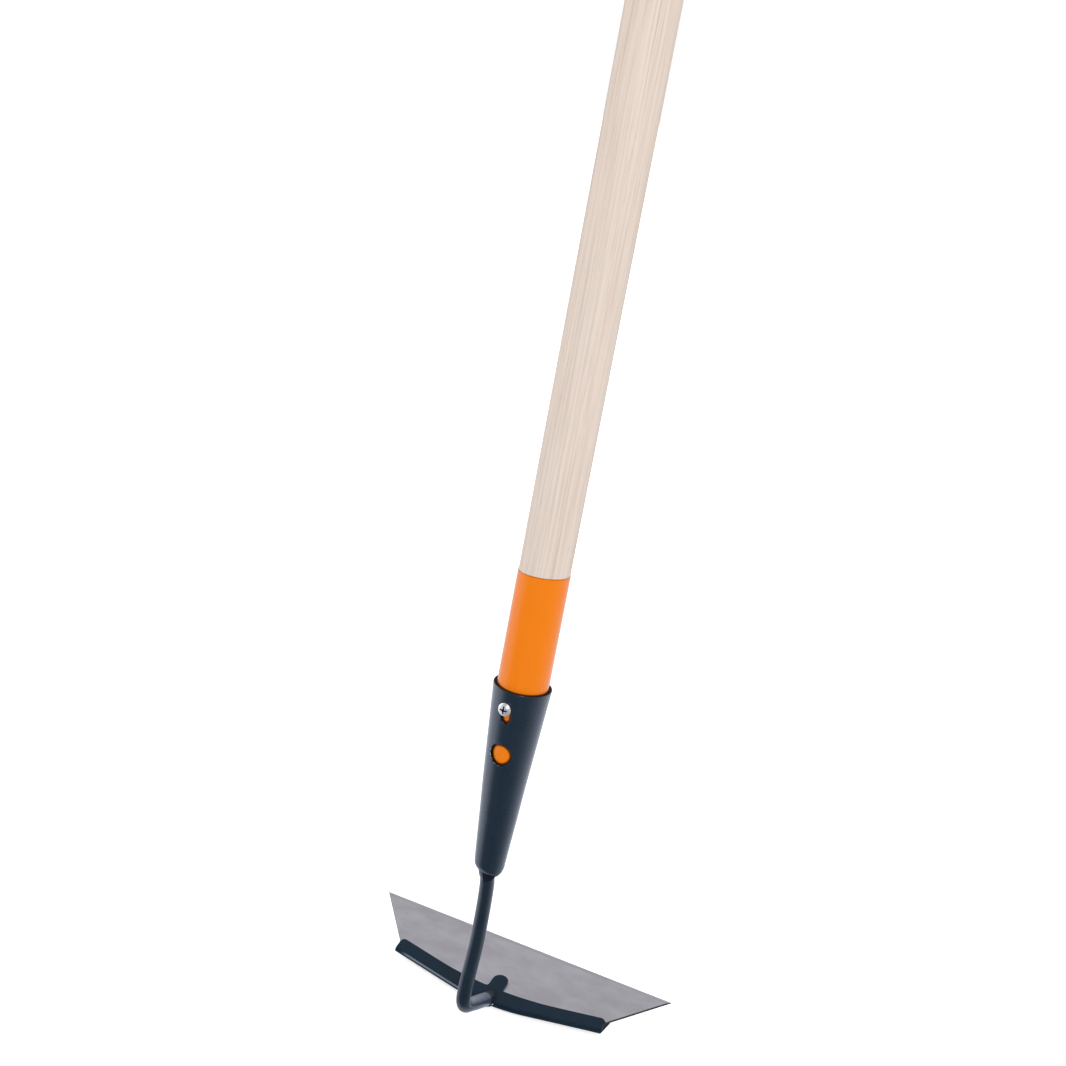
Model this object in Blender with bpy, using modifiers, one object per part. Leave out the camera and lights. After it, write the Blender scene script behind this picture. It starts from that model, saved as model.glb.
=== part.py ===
# Beet hoe: a wooden handle in a rolled sheet socket, and a bent round bar that carries
# a folded back rail with the blade gripped in it.
# Origin at the middle of the handle's top end, +Z up along the handle,
# +Y towards the person who pulls the hoe, +X to the right. Lengths are in metres.

import math

import bmesh
import bpy
from mathutils import Matrix, Vector

MM = 0.001

# Clearance between pieces that touch
GAP = 0.3 * MM

# Handle: turned ash, rounded at the top, tapered to fill the socket, its lower end dipped in paint
HANDLE_RADIUS = 14.0 * MM
HANDLE_LENGTH = 1400.0 * MM
HANDLE_IN_SOCKET = 90.0 * MM
TOP_FLAT_RADIUS = 6.0 * MM
TOP_ROUNDING = 9.0 * MM
LOWER_CHAMFER = 1.5 * MM
PAINT_ABOVE_SOCKET = 66.5 * MM
PAINT_COAT = 0.3 * MM
HANDLE_SIDES = 48
ROUNDING_STEPS = 8

# Socket: a cone rolled from sheet, drawn in round the bar at its narrow end
SOCKET_LENGTH = 117.5 * MM
SOCKET_WALL = 1.5 * MM
SOCKET_HALF_ANGLE = math.radians(3.95)
MOUTH_PLAY = 0.8 * MM
NOSE_LENGTH = 8.8 * MM
NOSE_LIP = 0.6 * MM
NOSE_SWEEP = math.radians(70.0)
SEAM_WIDTH = 1.2 * MM
SEAM_SHORT_OF_END = 16.0 * MM
SOCKET_SIDES = 64
NOSE_STEPS = 8

# Openings in the front of the socket, as depths below its mouth
SLOT_TOP = 7.3 * MM
SLOT_BOTTOM = 18.8 * MM
SLOT_WIDTH = 5.5 * MM
HOLE_DEPTH = 37.9 * MM
HOLE_RADIUS = 6.5 * MM
SLOT_END_STEPS = 10

# Fixing screw: pan head with a cross recess, driven in beside the slot's middle
SCREW_DEPTH = 9.8 * MM
SCREW_ASIDE = 0.7 * MM
HEAD_RADIUS = 4.0 * MM
HEAD_HEIGHT = 2.4 * MM
HEAD_RIM = 0.7 * MM
SHANK_RADIUS = 1.7 * MM
SHANK_LENGTH = 22.0 * MM
POINT_LENGTH = 4.0 * MM
RECESS_SPAN = 4.4 * MM
RECESS_WIDTH = 0.9 * MM
RECESS_DEPTH = 1.5 * MM
SCREW_SIDES = 32
CROWN_STEPS = 6

# Blade bed: the blade's middle plane, where the rail's front border crosses the centre line
BED_FORWARD = 53.4 * MM
BED_BELOW_MOUTH = 221.6 * MM
BED_TILT = math.radians(12.9)

# Blade: a wide trapezoid, ground on its upper side, with square ends inside the rail
BLADE_WIDTH = 197.4 * MM
BLADE_REACH = 45.2 * MM
BLADE_THICKNESS = 1.0 * MM
BLADE_SPLAY = math.radians(38.1)
BLADE_PAST_RAIL = 1.4 * MM
BLADE_CORNER = 2.5 * MM
GROUND_WIDTH = 3.0 * MM
EDGE_LAND = 0.2 * MM

# Back rail: sheet folded over the blade's back edge, bent in the middle with two straight wings
RAIL_WING_ANGLE = math.radians(12.3)
RAIL_FRONT_RADIUS = 190.0 * MM
RAIL_BACK_RADIUS = 115.0 * MM
RAIL_DEPTH = 12.3 * MM
RAIL_SHEET = 1.0 * MM
RAIL_HALF_SPAN = 69.2 * MM
RAIL_CORNER = 3.0 * MM
RAIL_STEPS = 30
CORNER_STEPS = 6
FOLD_STEPS = 10

# Tongue: a round ended tab of the rail's upper flange that lies on the blade
TONGUE_WIDTH = 9.7 * MM
TONGUE_LENGTH = 12.4 * MM
TONGUE_ROOT = 2.0 * MM
TONGUE_STEPS = 16

# Neck rod: round bar from the socket's nose to the fold of the rail
ROD_RADIUS = 4.0 * MM
ROD_IN_SOCKET = 16.0 * MM
ROD_LEAN = math.radians(7.0)
ROD_BOW = 6.4 * MM
ROD_BOW_DEPTH = 160.0 * MM
ELBOW_FORWARD = 1.7 * MM
ELBOW_RADIUS = 12.0 * MM
LEG_SLOPE = math.radians(20.8)
LEG_ABOVE_FOLD = 3.5 * MM
ROD_BEVEL_STEPS = 10
ROD_CURVE_STEPS = 12

# Weld beads, as how far each one reaches along the two faces that it joins
SOCKET_BEAD_ON_NOSE = 1.2 * MM
SOCKET_BEAD_ON_ROD = 2.4 * MM
SOCKET_BEAD_FROM = math.radians(140.0)
SOCKET_BEAD_TO = math.radians(320.0)
RAIL_BEAD_REACH = 1.0 * MM
BEAD_CROWN = 0.2
BEAD_END = 0.35
BEAD_STEPS = 40

# Places that follow from the sizes above
MOUTH_Z = HANDLE_IN_SOCKET - HANDLE_LENGTH
TAPER = math.tan(SOCKET_HALF_ANGLE)
MOUTH_RADIUS = HANDLE_RADIUS + MOUTH_PLAY + SOCKET_WALL
CONE_LENGTH = SOCKET_LENGTH - NOSE_LENGTH
CONE_END_RADIUS = MOUTH_RADIUS - TAPER * CONE_LENGTH
NOSE_END_RADIUS = ROD_RADIUS + GAP + NOSE_LIP
NOSE_DRAWN_IN = (CONE_END_RADIUS - NOSE_END_RADIUS) / (1 - math.cos(NOSE_SWEEP))
NOSE_DRAWN_OUT = NOSE_LENGTH / math.sin(NOSE_SWEEP)
INNER_HALF = BLADE_THICKNESS / 2 + GAP
OUTER_HALF = INNER_HALF + RAIL_SHEET
LEG_SLANT = LEG_SLOPE + BED_TILT


def clear_scene():
    for thing in list(bpy.data.objects):
        bpy.data.objects.remove(thing, do_unlink=True)


def new_collection(name):
    group = bpy.data.collections.new(name)
    bpy.context.scene.collection.children.link(group)
    return group


def new_material(name, colour, roughness, metallic):
    material = bpy.data.materials.new(name)
    material.use_nodes = True
    shader = material.node_tree.nodes["Principled BSDF"]
    shader.inputs["Base Color"].default_value = (*colour, 1.0)
    shader.inputs["Roughness"].default_value = roughness
    shader.inputs["Metallic"].default_value = metallic
    return material


clear_scene()
hoe = new_collection("beet_hoe")
cutters = new_collection("cutters")

ash = new_material("ash_wood", (0.72, 0.63, 0.52), 0.55, 0.0)
orange = new_material("orange_paint", (0.85, 0.22, 0.01), 0.25, 0.0)
powder = new_material("blue_grey_powder_coat", (0.016, 0.028, 0.042), 0.35, 0.0)
steel = new_material("bright_steel", (0.42, 0.40, 0.41), 0.4, 1.0)
zinc = new_material("zinc_plate", (0.75, 0.77, 0.80), 0.25, 1.0)


def add_empty(name, location, parent=None, tilt=0.0):
    empty = bpy.data.objects.new(name, None)
    hoe.objects.link(empty)
    empty.parent = parent
    empty.location = location
    empty.rotation_euler.x = tilt
    return empty


def add_object(name, data, parent, material, group=hoe):
    thing = bpy.data.objects.new(name, data)
    group.objects.link(thing)
    thing.parent = parent
    if material:
        data.materials.append(material)
    return thing


def add_cutter(name, mesh, parent):
    cutter = add_object(name, mesh, parent, None, cutters)
    cutter.hide_render = True
    cutter.display_type = "WIRE"
    return cutter


def mesh_from(bm, name, smooth_angle=math.radians(35.0)):
    bmesh.ops.recalc_face_normals(bm, faces=bm.faces)
    mesh = bpy.data.meshes.new(name)
    bm.to_mesh(mesh)
    bm.free()
    mesh.shade_smooth()
    mesh.set_sharp_from_angle(angle=smooth_angle)
    return mesh


def profile_mesh(name, points, closed=False):
    # Points are (radius, height) pairs, down the outer side first.
    bm = bmesh.new()
    verts = [bm.verts.new((radius, 0.0, height)) for radius, height in points]
    for first, second in zip(verts, verts[1:]):
        bm.edges.new((first, second))
    if closed:
        bm.edges.new((verts[-1], verts[0]))
    mesh = bpy.data.meshes.new(name)
    bm.to_mesh(mesh)
    bm.free()
    return mesh


def turn(thing, sides):
    screw = thing.modifiers.new("turn", "SCREW")
    screw.angle = math.tau
    screw.steps = sides
    screw.render_steps = sides
    screw.use_merge_vertices = True
    screw.merge_threshold = 0.00001
    screw.use_smooth_shade = True


def combine(thing, other, operation):
    boolean = thing.modifiers.new(f"{operation.lower()} {other.name}", "BOOLEAN")
    boolean.operation = operation
    boolean.solver = "EXACT"
    boolean.object = other


def prism(outline, low, high):
    # A closed block: the outline in X and Y, from one height to another.
    bm = bmesh.new()
    face = bm.faces.new([bm.verts.new((x, y, low)) for x, y in outline])
    top = bmesh.ops.extrude_face_region(bm, geom=[face])
    raised = [item for item in top["geom"] if isinstance(item, bmesh.types.BMVert)]
    bmesh.ops.translate(bm, verts=raised, vec=(0.0, 0.0, high - low))
    return bm


def box(size, centre=(0.0, 0.0, 0.0), turned=Matrix()):
    bm = bmesh.new()
    place = Matrix.Translation(centre) @ turned @ Matrix.Diagonal((*size, 1.0))
    bmesh.ops.create_cube(bm, size=1.0, matrix=place)
    return bm


def cylinder(radius, length, sides, turned=Matrix()):
    bm = bmesh.new()
    bmesh.ops.create_cone(
        bm, cap_ends=True, segments=sides, radius1=radius, radius2=radius, depth=length, matrix=turned
    )
    return bm


def loft(sections, closed=False):
    # A skin over sections of equal counts, with flat ends unless it closes on itself.
    bm = bmesh.new()
    rings = [[bm.verts.new(place) for place in section] for section in sections]
    if closed:
        rings.append(rings[0])
    for near, far in zip(rings, rings[1:]):
        for index in range(len(near)):
            bm.faces.new((near[index - 1], near[index], far[index], far[index - 1]))
    if not closed:
        bm.faces.new(rings[0])
        bm.faces.new(rings[-1])
    return bm


def arc(centre, radius, start, end, steps):
    # Points along a circle, both ends included.
    turns = [start + (end - start) * step / steps for step in range(steps + 1)]
    return [(centre[0] + radius * math.cos(a), centre[1] + radius * math.sin(a)) for a in turns]


def socket_outer(depth):
    # Outer radius of the socket's cone at a depth below its mouth.
    return MOUTH_RADIUS - TAPER * depth


def along_y(matrix=Matrix()):
    return matrix @ Matrix.Rotation(math.pi / 2, 4, "X")


def make_handle(parent):
    border = MOUTH_Z + PAINT_ABOVE_SOCKET
    coated_radius = HANDLE_RADIUS + PAINT_COAT
    taper_start = (MOUTH_PLAY - PAINT_COAT - GAP) / TAPER
    lower_radius = socket_outer(HANDLE_IN_SOCKET) - SOCKET_WALL - GAP
    side = HANDLE_RADIUS - TOP_FLAT_RADIUS
    quarter = [math.pi / 2 * step / ROUNDING_STEPS for step in range(ROUNDING_STEPS + 1)]
    rounding = [
        (TOP_FLAT_RADIUS + side * math.sin(a), TOP_ROUNDING * (math.cos(a) - 1)) for a in quarter
    ]
    points = [(0.0, 0.0)] + rounding + [
        (HANDLE_RADIUS, border),
        (coated_radius, border - PAINT_COAT),
        (coated_radius, MOUTH_Z - taper_start),
        (lower_radius + TAPER * LOWER_CHAMFER, LOWER_CHAMFER - HANDLE_LENGTH),
        (lower_radius - LOWER_CHAMFER, -HANDLE_LENGTH),
        (0.0, -HANDLE_LENGTH),
    ]
    handle = add_object("handle", profile_mesh("handle", points), parent, ash)
    turn(handle, HANDLE_SIDES)
    paint_below(handle, border)
    return handle


def paint_below(thing, height):
    # The dip coat covers each face whose middle lies below its border.
    mesh = evaluated_mesh(thing)
    mesh.materials.append(orange)
    for face in mesh.polygons:
        face.material_index = 1 if face.center.z < height else 0
    thing.modifiers.clear()
    thing.data = mesh


def evaluated_mesh(thing):
    bpy.context.view_layer.update()
    ready = thing.evaluated_get(bpy.context.evaluated_depsgraph_get())
    return bpy.data.meshes.new_from_object(ready)


def make_socket(mouth):
    nose = [
        (CONE_END_RADIUS - NOSE_DRAWN_IN * (1 - math.cos(a)), -CONE_LENGTH - NOSE_DRAWN_OUT * math.sin(a))
        for a in spread_evenly(0.0, NOSE_SWEEP, NOSE_STEPS)
    ]
    inner_nose = [(max(r - SOCKET_WALL, ROD_RADIUS + GAP), z) for r, z in nose[:-1]]
    outer = [(MOUTH_RADIUS, 0.0)] + nose
    inner = [(ROD_RADIUS + GAP, -SOCKET_LENGTH)] + inner_nose[::-1] + [(MOUTH_RADIUS - SOCKET_WALL, 0.0)]
    socket = add_object("socket", profile_mesh("socket", outer + inner, closed=True), mouth, powder)
    turn(socket, SOCKET_SIDES)
    return socket


def cut_socket(socket, mouth):
    reach = 2 * MOUTH_RADIUS
    front = Matrix.Translation((0.0, -reach / 2, -HOLE_DEPTH))
    hole = mesh_from(cylinder(HOLE_RADIUS, reach, SOCKET_SIDES // 2, along_y(front)), "hole_cutter")
    combine(socket, add_cutter("hole_cutter", hole, mouth), "DIFFERENCE")

    half = SLOT_WIDTH / 2
    top = arc((0.0, -SLOT_TOP - half), half, 0.0, math.pi, SLOT_END_STEPS)
    bottom = arc((0.0, -SLOT_BOTTOM + half), half, math.pi, math.tau, SLOT_END_STEPS)
    slot = prism(top + bottom, 0.0, reach)
    bmesh.ops.transform(slot, matrix=along_y(), verts=slot.verts)
    combine(socket, add_cutter("slot_cutter", mesh_from(slot, "slot_cutter"), mouth), "DIFFERENCE")

    seam_length = SOCKET_LENGTH - SEAM_SHORT_OF_END
    seam = box((SEAM_WIDTH, reach, 2 * seam_length), (0.0, reach / 2, 0.0))
    combine(socket, add_cutter("seam_cutter", mesh_from(seam, "seam_cutter"), mouth), "DIFFERENCE")


def make_screw(handle, mouth):
    # Turned about its own +Z, which points out of the socket's front.
    seat = socket_outer(SCREW_DEPTH - HEAD_RADIUS) + GAP
    dome = HEAD_HEIGHT - HEAD_RIM
    ball = (HEAD_RADIUS**2 + dome**2) / (2 * dome)
    spread = math.asin(HEAD_RADIUS / ball)
    angles = [spread * step / CROWN_STEPS for step in range(CROWN_STEPS + 1)]
    crown = [(ball * math.sin(a), HEAD_HEIGHT - ball * (1 - math.cos(a))) for a in angles]
    points = crown + [
        (HEAD_RADIUS, 0.0),
        (SHANK_RADIUS, 0.0),
        (SHANK_RADIUS, POINT_LENGTH - SHANK_LENGTH),
        (0.0, -SHANK_LENGTH),
    ]
    screw = add_object("fixing_screw", profile_mesh("fixing_screw", points), mouth, zinc)
    screw.location = (-SCREW_ASIDE, -seat, -SCREW_DEPTH)
    screw.rotation_euler.x = math.pi / 2
    turn(screw, SCREW_SIDES)
    for name, size in (
        ("recess_across", (RECESS_SPAN, RECESS_WIDTH, 2 * RECESS_DEPTH)),
        ("recess_upright", (RECESS_WIDTH, RECESS_SPAN, 2 * RECESS_DEPTH)),
    ):
        bar = mesh_from(box(size, (0.0, 0.0, HEAD_HEIGHT)), name)
        combine(screw, add_cutter(name, bar, screw), "DIFFERENCE")

    # The pilot bore in the wood follows the shank.
    bore_end = SHANK_LENGTH - seat + GAP
    bore_start = -2 * HANDLE_RADIUS
    middle = Matrix.Translation((-SCREW_ASIDE, (bore_start + bore_end) / 2, -SCREW_DEPTH))
    bore = cylinder(SHANK_RADIUS + GAP, bore_end - bore_start, SCREW_SIDES, along_y(middle))
    combine(handle, add_cutter("pilot_bore", mesh_from(bore, "pilot_bore"), mouth), "DIFFERENCE")


def bent_line(x, radius):
    # How far a line lies ahead of its middle: an arc that runs on into two straight wings.
    side = abs(x)
    bend_half = radius * math.sin(RAIL_WING_ANGLE)
    if side < bend_half:
        return radius - math.sqrt(radius**2 - side**2)
    return radius * (1 - math.cos(RAIL_WING_ANGLE)) + (side - bend_half) * math.tan(RAIL_WING_ANGLE)


def front_border(x):
    border = bent_line(x, RAIL_FRONT_RADIUS)
    past = abs(x) - (RAIL_HALF_SPAN - RAIL_CORNER)
    if past > 0.0:
        border -= RAIL_CORNER - math.sqrt(max(RAIL_CORNER**2 - past**2, 0.0))
    return border


def fold_axis(x):
    # The line that the sheet is folded round, which the blade's back edge follows too.
    return bent_line(x, RAIL_BACK_RADIUS) + OUTER_HALF - RAIL_DEPTH


def spread_evenly(start, end, steps):
    return [start + (end - start) * step / steps for step in range(steps + 1)]


def make_blade(bed):
    half = BLADE_WIDTH / 2
    square_half = RAIL_HALF_SPAN + BLADE_PAST_RAIL
    square_start = BLADE_REACH - (half - square_half) / math.tan(BLADE_SPLAY)
    back = [(x, fold_axis(x)) for x in spread_evenly(-square_half, square_half, RAIL_STEPS)]
    outline = [(square_half, square_start), (half, BLADE_REACH), (-half, BLADE_REACH)]
    outline += [(-square_half, square_start)] + back
    bm = prism(outline, -BLADE_THICKNESS / 2, BLADE_THICKNESS / 2)
    corner_y = fold_axis(square_half)
    corners = [
        edge
        for edge in bm.edges
        if all(abs(abs(v.co.x) - square_half) < GAP and abs(v.co.y - corner_y) < GAP for v in edge.verts)
        and edge.calc_length() < 2 * BLADE_THICKNESS
    ]
    bmesh.ops.bevel(
        bm, geom=corners, offset=BLADE_CORNER, segments=CORNER_STEPS, profile=0.5, affect="EDGES"
    )
    blade = add_object("blade", mesh_from(bm, "blade"), bed, steel)

    # The ground face runs from the upper face down to the land at the cutting edge.
    drop = BLADE_THICKNESS - EDGE_LAND
    slope = math.atan2(drop, GROUND_WIDTH)
    size = 4 * GROUND_WIDTH
    lean = Matrix.Rotation(-slope, 4, "X")
    centre = Vector((0.0, BLADE_REACH, BLADE_THICKNESS / 2 - drop)) + lean @ Vector((0.0, 0.0, size / 2))
    grind = box((2 * BLADE_WIDTH, 2 * size, size), centre, lean)
    combine(blade, add_cutter("grinding", mesh_from(grind, "grinding"), bed), "DIFFERENCE")
    return blade


def rail_section(x):
    # The folded sheet cut across, as places ahead of the bed's origin and heights.
    front = front_border(x)
    fold = (fold_axis(x), 0.0)
    outer = arc(fold, OUTER_HALF, math.pi / 2, 1.5 * math.pi, FOLD_STEPS)
    inner = arc(fold, INNER_HALF, 1.5 * math.pi, math.pi / 2, FOLD_STEPS)
    upper = [(front, OUTER_HALF)] + outer + [(front, -OUTER_HALF)]
    return upper + [(front, -INNER_HALF)] + inner + [(front, INNER_HALF)]


def make_rail(bed):
    # The rail is a loft, because its front and its fold have unlike curves.
    straight = RAIL_HALF_SPAN - RAIL_CORNER
    turns = [math.pi / 2 * step / CORNER_STEPS for step in range(1, CORNER_STEPS + 1)]
    right_end = [straight + RAIL_CORNER * math.sin(a) for a in turns]
    stations = [-x for x in reversed(right_end)] + spread_evenly(-straight, straight, RAIL_STEPS)
    stations += right_end
    bm = loft([[(x, y, z) for y, z in rail_section(x)] for x in stations])
    rail = add_object("back_rail", mesh_from(bm, "back_rail"), bed, powder)

    half = TONGUE_WIDTH / 2
    tip = arc((0.0, TONGUE_LENGTH - half), half, 0.0, math.pi, TONGUE_STEPS)
    right_root = arc((half + TONGUE_ROOT, TONGUE_ROOT), TONGUE_ROOT, 1.5 * math.pi, math.pi, CORNER_STEPS)
    left_root = [(-x, y) for x, y in reversed(right_root)]
    inside = -RAIL_DEPTH / 2
    edge = half + TONGUE_ROOT
    outline = [(-edge, inside), (edge, inside)] + right_root + tip + left_root
    tongue = prism(outline, INNER_HALF, OUTER_HALF)
    combine(rail, add_cutter("tongue", mesh_from(tongue, "tongue"), bed), "UNION")
    return rail


def bed_point(along, above):
    # A point of the bed's centre plane, in the frame of the socket's mouth.
    turned = Matrix.Rotation(BED_TILT, 4, "X") @ Vector((0.0, along, above))
    return turned + Vector((0.0, BED_FORWARD, -BED_BELOW_MOUTH))


def make_rod(mouth, bed):
    down = Vector((0.0, 0.0, -1.0))
    lean = Vector((0.0, math.sin(ROD_LEAN), -math.cos(ROD_LEAN)))
    leg = Vector((0.0, math.cos(LEG_SLOPE), -math.sin(LEG_SLOPE)))
    fold_point = bed_point(-RAIL_DEPTH, LEG_ABOVE_FOLD)
    bend = math.pi / 2 - LEG_SLOPE
    # Where the upright run and the leg would cross without the elbow
    crossing = fold_point - leg * ((fold_point.y - ELBOW_FORWARD) / leg.y)
    tangent = ELBOW_RADIUS * math.tan(bend / 2)
    pull = ELBOW_RADIUS * 4 / 3 * math.tan(bend / 4)
    elbow_start = crossing - down * tangent
    elbow_end = crossing + leg * tangent
    top = Vector((0.0, 0.0, ROD_IN_SOCKET - SOCKET_LENGTH))
    nose = Vector((0.0, 0.0, -SOCKET_LENGTH))
    bow = Vector((0.0, ROD_BOW, -ROD_BOW_DEPTH))
    upper = (nose.z - bow.z) / 3
    lower = (bow.z - elbow_start.z) / 3
    end = fold_point + leg * 3 * ROD_RADIUS
    short = GAP
    stations = [
        # place, direction, handle behind, handle ahead
        (top, down, short, ROD_IN_SOCKET / 3),
        (nose, lean, ROD_IN_SOCKET / 3, upper),
        (bow, down, upper, lower),
        (elbow_start, down, lower, pull),
        (elbow_end, leg, pull, tangent),
        (end, leg, tangent, short),
    ]
    curve = bpy.data.curves.new("neck_path", "CURVE")
    curve.dimensions = "3D"
    curve.bevel_depth = ROD_RADIUS
    curve.bevel_resolution = ROD_BEVEL_STEPS
    curve.resolution_u = ROD_CURVE_STEPS
    curve.use_fill_caps = True
    spline = curve.splines.new("BEZIER")
    spline.bezier_points.add(len(stations) - 1)
    for point, (place, direction, behind, ahead) in zip(spline.bezier_points, stations):
        point.handle_left_type = "FREE"
        point.handle_right_type = "FREE"
        point.co = place
        point.handle_left = place - direction * behind
        point.handle_right = place + direction * ahead
    path = add_object("neck_path", curve, mouth, None)
    rod = add_object("neck_rod", solid_from_curve(path, "neck_rod"), mouth, powder)

    # The leg's end is cut to lie on the rail's upper flange and against its fold.
    clear = OUTER_HALF + GAP
    fold = (fold_axis(0.0), 0.0)
    reach = 8 * ROD_RADIUS
    back = arc(fold, clear, math.pi / 2, math.pi, FOLD_STEPS)
    outline = [(fold[0] + reach, clear)] + back + [(fold[0] - clear, -reach), (fold[0] + reach, -reach)]
    bm = prism(outline, -reach, reach)
    upright = Matrix(((0.0, 0.0, 1.0, 0.0), (1.0, 0.0, 0.0, 0.0), (0.0, 1.0, 0.0, 0.0), (0.0, 0.0, 0.0, 1.0)))
    bmesh.ops.transform(bm, matrix=upright, verts=bm.verts)
    combine(rod, add_cutter("saddle_cut", mesh_from(bm, "saddle_cut"), bed), "DIFFERENCE")
    return rod


def solid_from_curve(path, name):
    mesh = evaluated_mesh(path)
    mesh.name = name
    curve = path.data
    bpy.data.objects.remove(path)
    bpy.data.curves.remove(curve)
    bm = bmesh.new()
    bm.from_mesh(mesh)
    bmesh.ops.remove_doubles(bm, verts=bm.verts, dist=0.00001)
    bmesh.ops.recalc_face_normals(bm, faces=bm.faces)
    bm.to_mesh(mesh)
    bm.free()
    mesh.materials.clear()
    mesh.shade_smooth()
    mesh.set_sharp_from_angle(angle=math.radians(50.0))
    return mesh


def bead_section(inner, first, second):
    # The inner points lie in the corner between two faces, then the two toes with a crown between.
    middle = (first + second) / 2
    return inner + [first, middle + (middle - inner[0]) * BEAD_CROWN, second]


def make_socket_weld(mouth):
    # The bead lies under the nose on the rod and fades out at both ends.
    lean = Vector((0.0, math.sin(ROD_LEAN), -math.cos(ROD_LEAN)))
    rise = Vector((0.0, 0.0, NOSE_DRAWN_OUT / (NOSE_DRAWN_IN * math.tan(NOSE_SWEEP))))
    sections = []
    for turned in spread_evenly(SOCKET_BEAD_FROM, SOCKET_BEAD_TO, BEAD_STEPS):
        share = (turned - SOCKET_BEAD_FROM) / (SOCKET_BEAD_TO - SOCKET_BEAD_FROM)
        size = BEAD_END + (1 - BEAD_END) * math.sin(math.pi * share)
        outward = Vector((math.cos(turned), math.sin(turned), 0.0))
        corner = outward * (ROD_RADIUS + GAP) + Vector((0.0, 0.0, -SOCKET_LENGTH - GAP))
        lip = corner + outward * NOSE_LIP
        on_nose = lip + (outward + rise) * SOCKET_BEAD_ON_NOSE * size
        on_rod = corner + lean * SOCKET_BEAD_ON_ROD * size
        sections.append(bead_section([corner, lip], on_nose, on_rod))
    return add_object("socket_weld", mesh_from(loft(sections), "socket_weld"), mouth, powder)


def meet_rail(place, direction):
    # Where a line that comes from behind meets the rail's back, grown by the gap.
    fold = Vector((0.0, fold_axis(0.0), 0.0))
    radius = OUTER_HALF + GAP
    on_flange = place + direction * ((radius - place.z) / direction.z)
    if on_flange.y > fold.y:
        return on_flange
    behind = place + direction * ((fold.y - radius - place.y) / direction.y)
    if behind.z < 0.0:
        return behind
    flat = Vector((0.0, place.y - fold.y, place.z))
    half_b = flat.dot(direction)
    return place - direction * (half_b + math.sqrt(half_b**2 - flat.length_squared + radius**2))


def make_rail_weld(bed):
    # The bead runs round the leg where it meets the rail.
    along = Vector((0.0, math.cos(LEG_SLANT), -math.sin(LEG_SLANT)))
    upward = Vector((0.0, math.sin(LEG_SLANT), math.cos(LEG_SLANT)))
    middle = Vector((0.0, -RAIL_DEPTH, LEG_ABOVE_FOLD))
    sections = []
    for step in range(BEAD_STEPS):
        turned = math.tau * step / BEAD_STEPS
        outward = Vector((math.cos(turned), 0.0, 0.0)) + upward * math.sin(turned)
        corner = meet_rail(middle + outward * (ROD_RADIUS + GAP), along)
        on_leg = corner - along * RAIL_BEAD_REACH
        on_rail = meet_rail(middle + outward * (ROD_RADIUS + GAP + RAIL_BEAD_REACH), along)
        sections.append(bead_section([corner], on_leg, on_rail))
    return add_object("rail_weld", mesh_from(loft(sections, closed=True), "rail_weld"), bed, powder)


origin = add_empty("handle_top", (0.0, 0.0, 0.0))
mouth = add_empty("socket_mouth", (0.0, 0.0, MOUTH_Z), origin)
bed = add_empty("blade_bed", (0.0, BED_FORWARD, -BED_BELOW_MOUTH), mouth, BED_TILT)
bpy.context.view_layer.update()

handle = make_handle(origin)
socket = make_socket(mouth)
cut_socket(socket, mouth)
make_screw(handle, mouth)
make_blade(bed)
make_rail(bed)
make_rod(mouth, bed)
make_socket_weld(mouth)
make_rail_weld(bed)
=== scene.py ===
import math

import bmesh
import bpy
from mathutils import Matrix, Vector
from mathutils.geometry import interpolate_bezier


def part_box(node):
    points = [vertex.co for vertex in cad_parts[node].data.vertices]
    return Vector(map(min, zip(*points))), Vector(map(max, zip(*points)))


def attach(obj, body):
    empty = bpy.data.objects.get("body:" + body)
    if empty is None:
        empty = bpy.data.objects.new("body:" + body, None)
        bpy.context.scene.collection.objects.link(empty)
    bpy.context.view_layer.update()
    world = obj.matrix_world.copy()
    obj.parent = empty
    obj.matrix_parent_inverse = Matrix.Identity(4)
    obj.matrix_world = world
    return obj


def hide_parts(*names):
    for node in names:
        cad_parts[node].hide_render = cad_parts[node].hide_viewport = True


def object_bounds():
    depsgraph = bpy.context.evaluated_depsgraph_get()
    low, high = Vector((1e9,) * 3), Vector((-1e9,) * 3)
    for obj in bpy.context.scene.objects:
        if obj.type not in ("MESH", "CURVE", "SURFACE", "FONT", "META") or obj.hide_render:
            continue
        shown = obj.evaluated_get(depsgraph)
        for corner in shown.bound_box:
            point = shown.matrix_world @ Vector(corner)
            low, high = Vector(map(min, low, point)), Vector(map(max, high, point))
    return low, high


# Beet hoe: the finish of every piece, and the studio it stands in.
# Lengths in the dictionaries are millimetres, unless a note says metres, and angles are degrees.
mm = 0.001
mergeDistance = 0.002 * mm
close = 0.01
white = (1.0, 1.0, 1.0, 1.0)
black = (0.0, 0.0, 0.0, 1.0)

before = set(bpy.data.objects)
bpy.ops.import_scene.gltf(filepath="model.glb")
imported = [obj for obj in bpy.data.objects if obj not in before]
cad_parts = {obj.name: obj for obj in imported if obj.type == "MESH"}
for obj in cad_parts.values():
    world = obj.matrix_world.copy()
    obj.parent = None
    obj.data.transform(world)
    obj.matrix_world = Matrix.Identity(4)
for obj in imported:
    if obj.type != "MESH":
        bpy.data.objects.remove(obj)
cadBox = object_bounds()
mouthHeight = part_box("socket")[1].z
atMouth = Vector((0.0, 0.0, mouthHeight))
print("frame loaded with", len(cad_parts), "parts")


# small tools for meshes

def mouldedSheet(across, along, place):
    # a flat grid whose points are moved: place(u, v) has u and v from 0 to 1
    bm = bmesh.new()
    bmesh.ops.create_grid(bm, x_segments=across, y_segments=along, size=0.5)
    for vert in bm.verts:
        vert.co = place(vert.co.x + 0.5, vert.co.y + 0.5)
    return bm


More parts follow.
